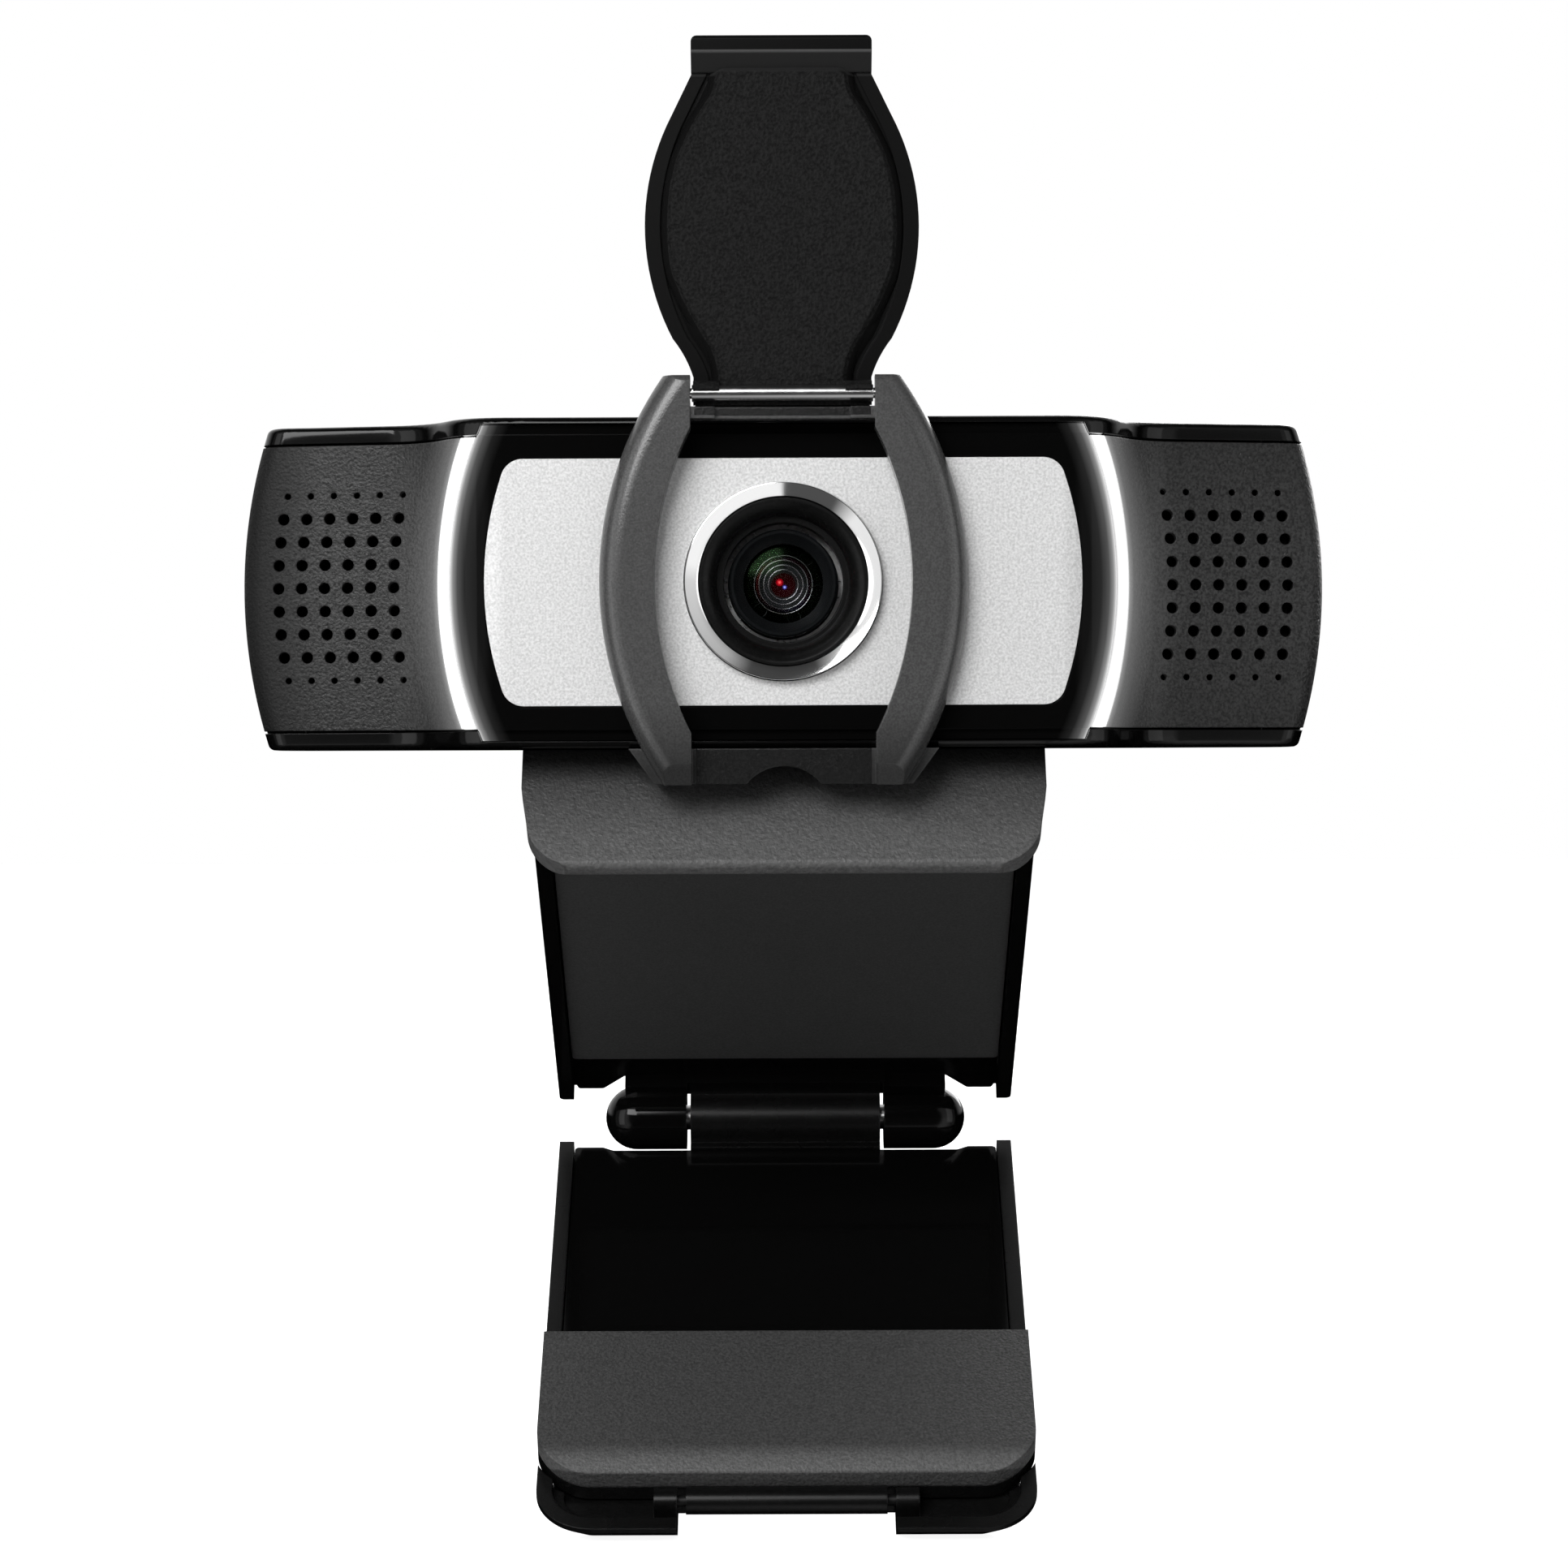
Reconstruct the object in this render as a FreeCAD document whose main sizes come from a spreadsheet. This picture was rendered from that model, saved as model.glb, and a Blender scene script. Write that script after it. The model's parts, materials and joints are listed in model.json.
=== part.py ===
"""A webcam on its folding monitor clip, with a clip-on privacy shutter.

Lengths are millimetres and angles degrees. The origin is the mouth of the tripod thread under
the clip, +Z is up and the lens looks along -Y. Three frames carry the sub-parts:
  lower clip   origin on the clip hinge, -Y along the lower plate, +Z out of its inner face
  upper clip   origin on the clip hinge, -Y along the upper plate, +Z out of its top
  camera       origin on the lens axis in the plane of the front glass
"""
import FreeCAD, Part
import math
import os
import re
import Sketcher
from FreeCAD import Placement, Rotation, Vector

document = FreeCAD.newDocument("webcam")
dims = document.addObject("Spreadsheet::Sheet", "dims")

SIZES = [
    # pose at rest
    ("upper_angle", 32.8, "rise of the upper plate above level"),
    ("lower_angle", 33.5, "fall of the lower plate below level"),
    # camera housing
    ("body_half_width", 47.1, "lens axis to a wing tip"),
    ("body_half_height", 14.0, "lens axis to the top and bottom skins"),
    ("body_depth", 22.5, "front glass to the back of the housing"),
    ("tip_bulge", 2.2, "how far a wing tip draws in at the top and bottom"),
    ("flat_corner", 27.1, "where the flat front would meet the step back to the wings"),
    ("flat_corner_radius", 6.0, "rounding of the front at the step"),
    ("wing_corner", 31.0, "where the step would meet the wing"),
    ("wing_setback", 7.2, "depth of the step at the wing"),
    ("wing_corner_radius", 7.0, "rounding of the step into the wing"),
    ("tip_setback", 10.0, "depth of the wing front at its tip"),
    ("tip_radius", 2.4, "rounding of the tip's front edge"),
    ("tip_back", 18.6, "depth of the tip's back edge"),
    ("tip_back_radius", 4.5, "rounding of the tip's back edge"),
    ("back_crown_radius", 300, "crown of the back"),
    ("skin", 1.5, "wall of the front panels"),
    ("shell_wall", 1.45, "wall of the rear shell"),
    ("shell_parting", 13.6, "depth of the joint between wings and rear shell"),
    ("seam", 0.08, "gap left between panels that meet"),
    ("edge_round", 0.6, "rounding of the housing's outer edges"),
    # front panels
    ("guide_inner", 28.3, "lens axis to the inner edge of a light guide"),
    ("guide_width", 1.3, "width of a light guide"),
    ("guide_bow", 33.0, "radius of a light guide's inner edge"),
    ("guide_depth", 2.4, "wall of a light guide"),
    ("bezel_half_height", 13.35, "lens axis to the edge of the bezel's rim"),
    ("glass_half_height", 12.5, "lens axis to the edge of the bezel's glass"),
    ("rim_step", 0.5, "step from the glass back to the rim"),
    ("plate_half_width", 25.3, "lens axis to the faceplate's side"),
    ("plate_half_height", 10.45, "lens axis to the faceplate's top"),
    ("plate_bow", 28.0, "radius of the faceplate's sides"),
    ("plate_corner", 1.9, "corner radius of the faceplate"),
    ("plate_thick", 0.6, "thickness of the faceplate"),
    # microphone grilles
    ("hole_pitch", 2.0, "rows of the microphone grille"),
    ("column_pitch", 2.03, "columns of the microphone grille"),
    ("grille_start", 32.8, "lens axis to the first column of holes"),
    ("grille_bow", 0.85, "bow of a column towards the tip"),
    ("hole_radius", 0.5, "large holes of the grille"),
    ("small_hole_radius", 0.28, "small holes of the end rows"),
    # lens
    ("ring_outer", 8.35, "outer radius of the lens ring"),
    ("ring_inner", 7.2, "inner radius of the lens ring"),
    ("ring_height", 1.2, "how far the lens ring stands out"),
    ("hood_front", 0.4, "how far the hood stands out of the front glass"),
    ("hood_mouth", 5.65, "radius of the hood where its funnel starts"),
    ("hood_clear", 0.5, "gap from the hood's bore to the lens barrel"),
    ("hood_reach", 2.0, "how far the hood runs along the lens barrel"),
    ("hood_flange", 1.3, "width of the hood's flange"),
    ("hood_wall", 0.9, "wall of the hood's tube"),
    ("barrel_radius", 4.6, "outer radius of the lens barrel"),
    ("barrel_front", 2.4, "depth of the lens barrel's front face"),
    ("barrel_length", 10.2, "length of the lens barrel"),
    ("barrel_seat", 1.6, "barrel's front face to the rim of the front lens"),
    ("lens_thick", 1.4, "thickness of the front lens at its rim"),
    ("retainer_thick", 1.2, "thickness of the ring behind the front lens"),
    ("barrel_bore", 2.7, "radius of the barrel behind the front lens"),
    ("glass_radius", 3.4, "radius of the front lens"),
    ("stop_radius", 1.0, "radius of the aperture"),
    ("board_depth", 15.5, "depth of the main board's front face"),
    ("board_thick", 1.2, "thickness of the circuit boards"),
    ("board_half_width", 27.0, "half width of the main board"),
    ("board_half_height", 10.0, "half height of the main board"),
    ("post_across", 23.0, "lens axis to a board post, across"),
    ("post_up", 7.0, "lens axis to a board post, up"),
    ("post_radius", 2.0, "radius of a board post"),
    ("screw_radius", 0.9, "radius of a board screw's thread"),
    ("microphone_across", 37.5, "lens axis to a microphone"),
    ("microphone_board", 5.5, "half width and height of a microphone's board"),
    ("microphone_radius", 1.6, "radius of a microphone capsule"),
    ("housing_half", 7.0, "half width of the focus motor"),
    ("housing_start", 3.4, "barrel's front face to the focus motor"),
    ("spring_inset", 0.4, "edge of the focus motor to its flat spring"),
    ("spring_fit", 0.15, "flat spring to the lens barrel"),
    ("spring_thick", 0.2, "thickness of the flat spring"),
    ("filter_depth", 2.3, "main board to the front of the filter"),
    ("filter_thick", 0.3, "thickness of the filter"),
    ("sensor_thick", 0.9, "thickness of the image sensor"),
    ("filter_half", 3.6, "half width of the chamber over the sensor"),
    ("inlet_drop", 5.0, "lens axis down to the cable inlet"),
    ("inlet_radius", 3.0, "radius of the cable inlet's hole"),
    ("collar_depth", 1.9, "depth of the cable inlet's collar in the back"),
    ("collar_rise", 0.9, "how far that collar stands out"),
    ("collar_rim", 0.8, "width of that collar's rim"),
    ("spigot_half_width", 4.0, "half width of the tilt lug's spigot"),
    ("spigot_half_depth", 1.8, "half depth of the tilt lug's spigot"),
    ("running_fit", 0.04, "radial clearance of what turns or slides"),
    # clip, both plates
    ("clip_half_width", 21.9, "half width of the clip"),
    ("rail_width", 1.4, "width of a side rail"),
    ("rail_gap", 0.4, "hinge plane to the rails of either plate"),
    ("barrel_hinge", 3.1, "radius of the hinge barrels"),
    ("knuckle_half", 9.2, "half width of the middle knuckle"),
    ("knuckle_gap", 0.4, "gap between knuckles"),
    ("knuckle_end", 17.5, "hinge middle to the end of an outer knuckle"),
    ("dome_wall", 2.0, "wall at the domed end of an outer knuckle"),
    ("hinge_pin_radius", 1.2, "radius of the clip's hinge pin"),
    ("sleeve_radius", 2.1, "outer radius of a friction sleeve"),
    # lower plate
    ("lower_start", 3.2, "hinge to the lower plate"),
    ("lower_end", 55.7, "hinge to the end of the lower plate"),
    ("lower_thick", 6.2, "thickness of the lower plate"),
    ("lower_corner", 5.0, "corner radius of the lower plate"),
    ("end_thick", 4.2, "thickness of the lower plate at its end"),
    ("end_round", 0.55, "height of the lower plate's edge under the rim, before it slopes in"),
    ("thread_flat_start", 14.0, "hinge to the flat round the thread"),
    ("thread_flat_end", 34.0, "hinge to the end of that flat"),
    ("plate_back", 3.8, "hinge to the lower plate and the upper cover between their ears"),
    ("tray_back", 5.0, "hinge to the upper tray between its ears"),
    ("wall_thick", 0.8, "wall behind the upper pad"),
    ("neck_step", 0.3, "step from the upper rails' edge down to the knuckles' necks"),
    ("tray_ear", 2.3, "hinge to the ends of the upper tray's ears"),
    ("ear_inner", 17.7, "half width between a plate's ears"),
    ("ear_slant", 2.3, "how far the sides of that opening slant in"),
    ("tray_floor", 1.9, "hinge plane down to the lower plate's floor"),
    ("cover_thick", 1.0, "thickness of the glossy cover"),
    ("thread_reach", 27.0, "hinge to the tripod thread"),
    ("thread_radius", 2.55, "radius of the tapped quarter-inch hole"),
    ("insert_radius", 4.2, "radius of the threaded insert"),
    ("notch_half", 9.55, "half width of the notch round the foot's hinge"),
    ("notch_start", 49.6, "hinge to the notch"),
    # foot
    ("foot_start", 32.5, "hinge to the foot's free edge"),
    ("foot_end", 50.3, "hinge to the foot's rounded end"),
    ("foot_axis", 51.4, "hinge to the foot's own hinge"),
    ("foot_axis_drop", 2.0, "hinge plane down to the foot's own hinge"),
    ("foot_knuckle", 1.2, "radius of the foot's knuckle"),
    ("foot_pin_radius", 0.5, "radius of the foot's pin"),
    ("foot_pin_half", 11.6, "half length of the foot's pin"),
    ("foot_base_thick", 1.4, "thickness of the foot's plastic base"),
    ("foot_pad_thick", 1.6, "thickness of the foot's rubber"),
    ("foot_rise", 1.0, "hinge plane up to the rubber's face"),
    ("foot_corner", 4.8, "corner radius of the foot"),
    ("foot_half", 22.0, "half width of the foot"),
    ("foot_bend", 47.4, "hinge to where the foot bends down"),
    ("foot_fall", 0.8, "how far the foot's end bends down"),
    ("foot_bed", 3.1, "hinge plane down to the bed under the foot"),
    ("foot_gap", 0.35, "gap round the folded foot"),
    ("foot_tab_half", 8.8, "half width of the foot's hinge tab"),
    ("foot_lug", 1.1, "radius of the lugs that hold the foot's pin"),
    ("rim_top", 1.2, "hinge plane down to the rim round the foot"),
    ("rim_width", 1.4, "width of that rim"),
    ("rim_ledge", 1.0, "width and depth of the ledge inside the rim"),
    # upper plate
    ("upper_start", 3.0, "hinge to the upper plate"),
    ("upper_split", 2.9, "hinge plane up to the joint of tray and cover"),
    ("upper_top", 5.4, "hinge plane up to the top of the cover"),
    ("pad_start", 10.2, "hinge to the rubber pad"),
    ("pad_recess", 0.9, "hinge plane up to the pad's face"),
    ("pad_fit", 0.15, "gap round the pad in its tray"),
    ("pad_end", 0.2, "end of the pad to the inner face of the lip"),
    ("pin_inset", 0.2, "end of the tilt pin inside the ear"),
    ("washer_inset", 0.2, "edge of a washer inside the edge of the lug"),
    ("pad_thick", 1.1, "thickness of the pad"),
    ("lip_inside", 57.6, "hinge to the inner face of the lip"),
    ("lip_thick", 2.0, "thickness of the lip"),
    ("lip_drop", 7.8, "hinge plane down to the lip's edge"),
    ("lip_half_width", 22.4, "half width of the lip"),
    ("lip_corner", 4.6, "corner radius of the lip"),
    ("lip_top", 4.0, "hinge plane up to the lip's top edge"),
    ("lip_taper", 0.5, "how far each side of the lip draws in"),
    ("slope_back", 7.6, "lip's inner face back to where the cover slopes"),
    ("flare_back", 3.6, "lip's inner face back to where the cover starts to widen"),
    # tilt joint
    ("tilt_back", 6.5, "lip's inner face back to the tilt axis"),
    ("tilt_height", 6.5, "hinge plane up to the tilt axis"),
    ("tilt_setback", 14.0, "front glass to the tilt axis"),
    ("tilt_drop", 16.5, "lens axis down to the tilt axis"),
    ("lug_radius", 2.2, "radius of the tilt lugs"),
    ("lug_half", 5.4, "half width of the camera's lug"),
    ("washer_thick", 0.4, "thickness of a friction washer"),
    ("ear_width", 2.8, "width of an ear on the clip"),
    ("tilt_pin_radius", 1.0, "radius of the tilt pin"),
    # shutter
    ("arm_half_height", 17.2, "lens axis to the ends of the shutter arms"),
    ("arm_middle", 15.5, "lens axis to an arm's outer edge"),
    ("arm_end", 10.1, "half width over the arms' ends"),
    ("window_half", 7.75, "half width between the arms' ends"),
    ("window_middle", 10.85, "half width between the arms' middles"),
    ("window_corner", 12.8, "lens axis to where the arms' inner edges turn"),
    ("arm_round", 2.0, "rounding of an arm's outer edge"),
    ("arm_back", 0.35, "front glass to the back of the arms"),
    ("arm_front", 3.3, "front glass to the arms' outer band"),
    ("flap_axis_out", 2.2, "front glass to the flap's hinge"),
    ("flap_axis_up", 15.7, "lens axis up to the flap's hinge"),
    ("arm_toe", 1.8, "height of the slope on an arm's lower end"),
    ("arm_toe_back", 1.3, "how far back that slope goes"),
    ("arm_brow", 0.5, "slope on an arm's upper end"),
    ("bar_top", 14.55, "lens axis up to the top of the shutter's crossbar"),
    ("block_top", 13.1, "half width of the block under the housing, at its top"),
    ("block_bottom", 10.9, "half width of that block at its bottom"),
    ("block_drop", 17.1, "lens axis down to the underside of that block"),
    ("scoop_radius", 4.0, "radius of the scoop in the block"),
    ("scoop_drop", 19.6, "lens axis down to the scoop's centre"),
    ("flap_pin_radius", 0.45, "radius of the flap's pin"),
    ("flap_tube_radius", 0.72, "radius of the tube that the flap is moulded on"),
    ("flap_tube_half", 7.6, "half length of that tube"),
    ("flap_knuckle", 1.05, "radius of the flap where it wraps the tube"),
    ("flap_leg", 5.3, "half width between the flap's legs"),
    ("flap_length", 30.1, "hinge to the tip of the flap"),
    ("flap_half_width", 11.55, "half width of the flap at its widest"),
    ("flap_widest", 14.2, "hinge to the widest place of the flap"),
    ("flap_bow", 20.3, "radius of the flap's bowed sides"),
    ("flap_neck", 7.5, "half width of the flap at its hinge"),
    ("flap_head", 7.6, "half width of the flap at its tip"),
    ("flap_clear", 0.25, "gap between the closed flap and the arms"),
    ("flap_thick", 0.9, "thickness of the flap"),
    ("bar_tall", 1.0, "height of the crossbar behind the tube"),
    ("bar_setback", 1.0, "front of the arms to the crossbar"),
    ("lug_gap", 0.4, "a leg of the flap to the frame's lug beside it"),
    ("tongue_reach", 6.0, "length of the tongue on the housing"),
    ("tongue_top", 1.2, "top of the housing to the top of the tongue"),
    ("web_thick", 0.9, "thickness of the web from the flap to its tube"),
    ("tab_thick", 1.4, "thickness of the pull tab at its edge"),
    ("plateau_draft", 43, "slope of the raised middle's edge"),
    ("plateau_rise", 0.9, "height of the flap's raised middle"),
    ("plateau_inset", 1.65, "edge of the flap to its raised middle"),
    ("plateau_end", 27.2, "hinge to the end of the raised middle"),
    ("groove_width", 0.35, "width of the groove round the raised middle"),
    ("groove_depth", 0.3, "depth of that groove"),
    ("hook_rise", 1.5, "height of the pull tab at the flap's tip"),
    ("hook_root", 3.0, "length of the pull tab"),
    ("tip_round", 0.6, "corner radius of the pull tab"),
]


def fill_sheet():
    for row, (alias, size, meaning) in enumerate(SIZES, start=1):
        dims.set(f"A{row}", meaning)
        dims.set(f"B{row}", str(size))
        dims.setAlias(f"B{row}", alias)
    document.recompute()


def formula(text):
    """Turns 'ear_width / 2' into an expression on the sheet's cells."""
    return re.sub(r"\b([a-z][a-z_]*)\b(?!\()", r"dims.\1", text)


def value(text):
    """The number that an expression in the sheet's cells stands for."""
    return float(dims.evalExpression(formula(text)))


# --- frames -------------------------------------------------------------------------------

def plate_frames():
    """Placements of the lower clip, upper clip and camera frames."""
    lower_turn = Rotation(Vector(1, 0, 0), value("lower_angle"))
    upper_turn = Rotation(Vector(1, 0, 0), -value("upper_angle"))
    thread_mouth = Vector(0, -value("thread_reach"), -value("rail_gap + lower_thick"))
    hinge = -lower_turn.multVec(thread_mouth)
    tilt = hinge + upper_turn.multVec(Vector(0, -value("lip_inside - tilt_back"),
                                             value("tilt_height")))
    camera = tilt + Vector(0, -value("tilt_setback"), value("tilt_drop"))
    return Placement(hinge, lower_turn), Placement(hinge, upper_turn), Placement(camera, Rotation())


# --- sketches -----------------------------------------------------------------------------

PLANES = {"top": "XY_Plane", "front": "XZ_Plane", "side": "YZ_Plane"}


def rectangle(left, bottom, right, top):
    """A rectangle held by four dimensions, each an expression."""
    def draw(sketch):
        first = sketch.GeometryCount
        low = Vector(value(left), value(bottom), 0)
        high = Vector(value(right), value(top), 0)
        corners = [low, Vector(high.x, low.y, 0), high, Vector(low.x, high.y, 0)]
        for side in range(4):
            sketch.addGeometry(Part.LineSegment(corners[side], corners[(side + 1) % 4]), False)
        for side in range(4):
            ends = (first + side, 2, first + (side + 1) % 4, 1)
            sketch.addConstraint(Sketcher.Constraint("Coincident", *ends))
            way = "Horizontal" if side % 2 == 0 else "Vertical"
            sketch.addConstraint(Sketcher.Constraint(way, first + side))
        hold(sketch, "DistanceX", first, 1, left)
        hold(sketch, "DistanceY", first, 1, bottom)
        hold(sketch, "DistanceX", first + 1, 2, right)
        hold(sketch, "DistanceY", first + 1, 2, top)
    return draw


def circle(across, up, radius):
    """A circle held by its centre and radius, each an expression."""
    def draw(sketch):
        centre = Vector(value(across), value(up), 0)
        curve = sketch.addGeometry(Part.Circle(centre, Vector(0, 0, 1), value(radius)), False)
        hold(sketch, "DistanceX", curve, 3, across)
        hold(sketch, "DistanceY", curve, 3, up)
        rule = sketch.addConstraint(Sketcher.Constraint("Radius", curve, value(radius)))
        sketch.setExpression(f"Constraints[{rule}]", formula(radius))
    return draw


def hold(sketch, kind, curve, point, text):
    """Fixes one coordinate of a sketch point to an expression, measured from the origin."""
    rule = sketch.addConstraint(Sketcher.Constraint(kind, -1, 1, curve, point, value(text)))
    sketch.setExpression(f"Constraints[{rule}]", formula(text))


def outline(curves):
    """A free outline, from curves that close one or more loops."""
    def draw(sketch):
        for curve in curves:
            sketch.addGeometry(curve, False)
    return draw


def both(*draws):
    """Several figures in one sketch."""
    def draw(sketch):
        for figure in draws:
            figure(sketch)
    return draw


def rounded(corners):
    """Curves of a closed loop through corners (x, y, radius), each rounded by its radius."""
    trims = []
    for index, (across, up, radius) in enumerate(corners):
        here = Vector(across, up, 0)
        following = corners[(index + 1) % len(corners)]
        back = (Vector(*corners[index - 1][:2], 0) - here).normalize()
        ahead = (Vector(*following[:2], 0) - here).normalize()
        half = back.getAngle(ahead) / 2
        reach = radius / math.tan(half)
        bisector = (back + ahead).normalize()
        middle = here + bisector * (radius / math.sin(half) - radius)
        trims.append((here + back * reach, middle, here + ahead * reach, radius))
    curves = []
    for index, (start, middle, end, radius) in enumerate(trims):
        if radius > 0:
            curves.append(Part.Arc(start, middle, end))
        following = trims[(index + 1) % len(trims)][0]
        if (following - end).Length > 1e-6:
            curves.append(Part.LineSegment(end, following))
    return curves


def path(start, *steps):
    """Curves of a closed loop: a step is a point, or two points for an arc through the first."""
    curves = []
    here = Vector(*start, 0)
    for step in [*steps, start]:
        if isinstance(step[0], tuple):
            middle, end = Vector(*step[0], 0), Vector(*step[1], 0)
            curves.append(Part.Arc(here, middle, end))
        else:
            end = Vector(*step, 0)
            if (end - here).Length > 1e-6:
                curves.append(Part.LineSegment(here, end))
        here = end
    return curves


def mirrored(curves):
    """The curves and their mirror images across the upright axis."""
    twins = []
    for curve in curves:
        twin = curve.copy()
        twin.mirror(Vector(0, 0, 0), Vector(0, 1, 0))
        twins.append(twin)
    return curves + twins


# --- features -----------------------------------------------------------------------------

def new_body(name, frame):
    body = document.addObject("PartDesign::Body", name)
    body.Label = name
    body.Placement = frame
    return body


def new_sketch(body, plane, distance, draw):
    """A sketch on one of the body's own planes, moved along the plane's normal."""
    sketch = body.newObject("Sketcher::SketchObject", f"{body.Label}_sketch")
    origin = [item for item in body.Origin.OriginFeatures if item.Role == PLANES[plane]]
    sketch.AttachmentSupport = [(origin[0], "")]
    sketch.MapMode = "FlatFace"
    sketch.setExpression("AttachmentOffset.Base.z", formula(distance))
    draw(sketch)
    return sketch


def pad(body, plane, draw, start, end, taper=0):
    """Material between two distances along the normal; a taper narrows it to its end, or to its
    start where the taper is negative."""
    sketch = new_sketch(body, plane, end if taper < 0 else start, draw)
    feature = body.newObject("PartDesign::Pad", f"{body.Label}_pad")
    feature.Profile = sketch
    feature.setExpression("Length", formula(f"({end}) - ({start})"))
    feature.Reversed = taper < 0
    feature.TaperAngle = -abs(taper)
    document.recompute()
    return feature


def pocket(body, plane, draw, start, end):
    """Cuts away what lies between two distances along the plane's normal."""
    before = body.Shape.Volume
    sketch = new_sketch(body, plane, end, draw)
    feature = body.newObject("PartDesign::Pocket", f"{body.Label}_pocket")
    feature.Profile = sketch
    feature.setExpression("Length", formula(f"({end}) - ({start})"))
    document.recompute()
    if body.Shape.Volume > before - 1e-6:
        raise RuntimeError(f"{feature.Name} cuts nothing")
    return feature


def turned(body, draw, groove=False):
    """Turns a profile of the side plane about the frame's Y axis."""
    sketch = new_sketch(body, "side", "0", draw)
    kind = "PartDesign::Groove" if groove else "PartDesign::Revolution"
    feature = body.newObject(kind, f"{body.Label}_turned")
    feature.Profile = sketch
    feature.ReferenceAxis = (sketch, ["H_Axis"])
    feature.Angle = 360
    document.recompute()
    return feature


def soften(body, size, chosen):
    """Fillets the edges of the body's tip that a test picks."""
    tip = body.Tip
    names = [f"Edge{index}" for index, edge in enumerate(tip.Shape.Edges, start=1) if chosen(edge)]
    if not names:
        raise RuntimeError(f"{body.Label} has no such edge")
    feature = body.newObject("PartDesign::Fillet", f"{body.Label}_edge")
    feature.Base = (tip, names)
    feature.setExpression("Radius", formula(size))
    document.recompute()
    return feature


def placed(name, frame, shape):
    """A sub-part whose shape is set directly, for forms that no sketch feature makes."""
    feature = document.addObject("Part::Feature", name)
    feature.Label = name
    feature.Shape = shape
    feature.Placement = frame
    return feature


def along(edge, axis):
    """Whether an edge is a straight one along an axis: 'x', 'y' or 'z'."""
    if edge.Curve.TypeId != "Part::GeomLine":
        return False
    return abs(getattr(edge.Curve.Direction, axis)) > 0.999


# --- lower clip: the fixed body -----------------------------------------------------------

def lower_bracket(frame):
    """Moulded lower plate: rails, middle knuckle, foot bed and the swell round the thread."""
    body = new_body("lower_bracket", frame)
    half, corner = value("clip_half_width"), value("lower_corner")
    end, under = value("lower_end"), -value("rail_gap + end_thick")
    past, outer = value("barrel_hinge"), -value("rail_gap + lower_thick")
    plan = rounded([(-half, past, 0), (half, past, 0), (half, -end, corner), (-half, -end, corner)])
    pad(body, "top", outline(plan), "-(rim_top + end_round)", "-rail_gap")
    pad(body, "top", outline(plan), "-(rail_gap + lower_thick)", "-(rim_top + end_round)", -44)
    swell = rounded([(past + 1, under, 0), (-value("lower_start"), under, 3),
                     (-value("thread_flat_start"), outer, 6), (-value("thread_flat_end"), outer, 6),
                     (-end - 1, under, 0), (-end - 1, outer - 1, 0), (past + 1, outer - 1, 0)])
    pocket(body, "side", outline(swell), "-(clip_half_width + 1)", "clip_half_width + 1")
    pocket(body, "top", rectangle("-(clip_half_width + 1)", "-lower_start", "clip_half_width + 1",
                                  "barrel_hinge + 1"), "-(rail_gap + lower_thick + 1)", "0")
    # between the ears the plate stands back from the knuckles
    pocket(body, "top", rectangle("-ear_inner", "-plate_back", "ear_inner", "0"),
           "-(rail_gap + lower_thick + 1)", "0")
    # tray for the glossy cover, then the bed of the foot and the recess inside the rim
    tray = rectangle("-(clip_half_width - rail_width)", "-foot_start",
                     "clip_half_width - rail_width", "0")
    pocket(body, "top", tray, "-tray_floor", "0")
    pocket(body, "top", rectangle("-(clip_half_width + 1)", "-(lower_end + 1)",
                                  "clip_half_width + 1", "-(foot_start - foot_gap)"),
           "-rim_top", "0")
    gap = value("foot_gap")
    bed = foot_outline(value("foot_half + foot_gap"), value("foot_start - foot_gap"),
                       value("foot_end + foot_gap"), value("foot_corner") + gap)
    pocket(body, "top", outline(bed), "-foot_bed", "0")
    rim, ledge = value("rim_width"), value("rim_ledge")
    for width, depth in ((rim, "-(rim_top + rim_ledge)"), (rim + ledge, "-foot_bed")):
        inside = foot_outline(half - width, value("foot_bend"), end - width, corner - width)
        pocket(body, "top", outline(inside), depth, "0")
    # lugs of the foot's pin, beside the notch for its tab
    lug = path((-value("foot_axis + foot_lug"), -value("foot_bed")),
               (-value("foot_axis + foot_lug"), -value("foot_axis_drop")),
               ((-value("foot_axis"), value("foot_lug - foot_axis_drop")),
                (-value("foot_axis - foot_lug"), -value("foot_axis_drop"))),
               (-value("foot_axis - foot_lug"), -value("foot_bed")))
    pad(body, "side", outline(lug), "-foot_pin_half", "foot_pin_half")
    pocket(body, "top", rectangle("-notch_half", "-(lower_end + 1)", "notch_half", "-notch_start"),
           "-(rail_gap + lower_thick + 1)", "0")
    pocket(body, "side", circle("-foot_axis", "-foot_axis_drop", "foot_pin_radius"),
           "-foot_pin_half", "foot_pin_half")
    # middle knuckle on its neck
    pad(body, "side", circle("0", "0", "barrel_hinge"), "-knuckle_half", "knuckle_half")
    neck = rectangle("-plate_back", "-barrel_hinge", "0", "-(rail_gap + 0.3)")
    pad(body, "side", neck, "-knuckle_half", "knuckle_half")
    pocket(body, "side", circle("0", "0", "hinge_pin_radius"), "-knuckle_half", "knuckle_half")
    pocket(body, "top", circle("0", "-thread_reach", "insert_radius"),
           "-(rail_gap + lower_thick)", "-tray_floor")
    return body


def foot_outline(half, start, end, corner):
    """Plan of the foot: square at its free edge and rounded at its hinge end."""
    return rounded([(-half, -start, 0.6), (half, -start, 0.6),
                    (half, -end, corner), (-half, -end, corner)])


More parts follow.
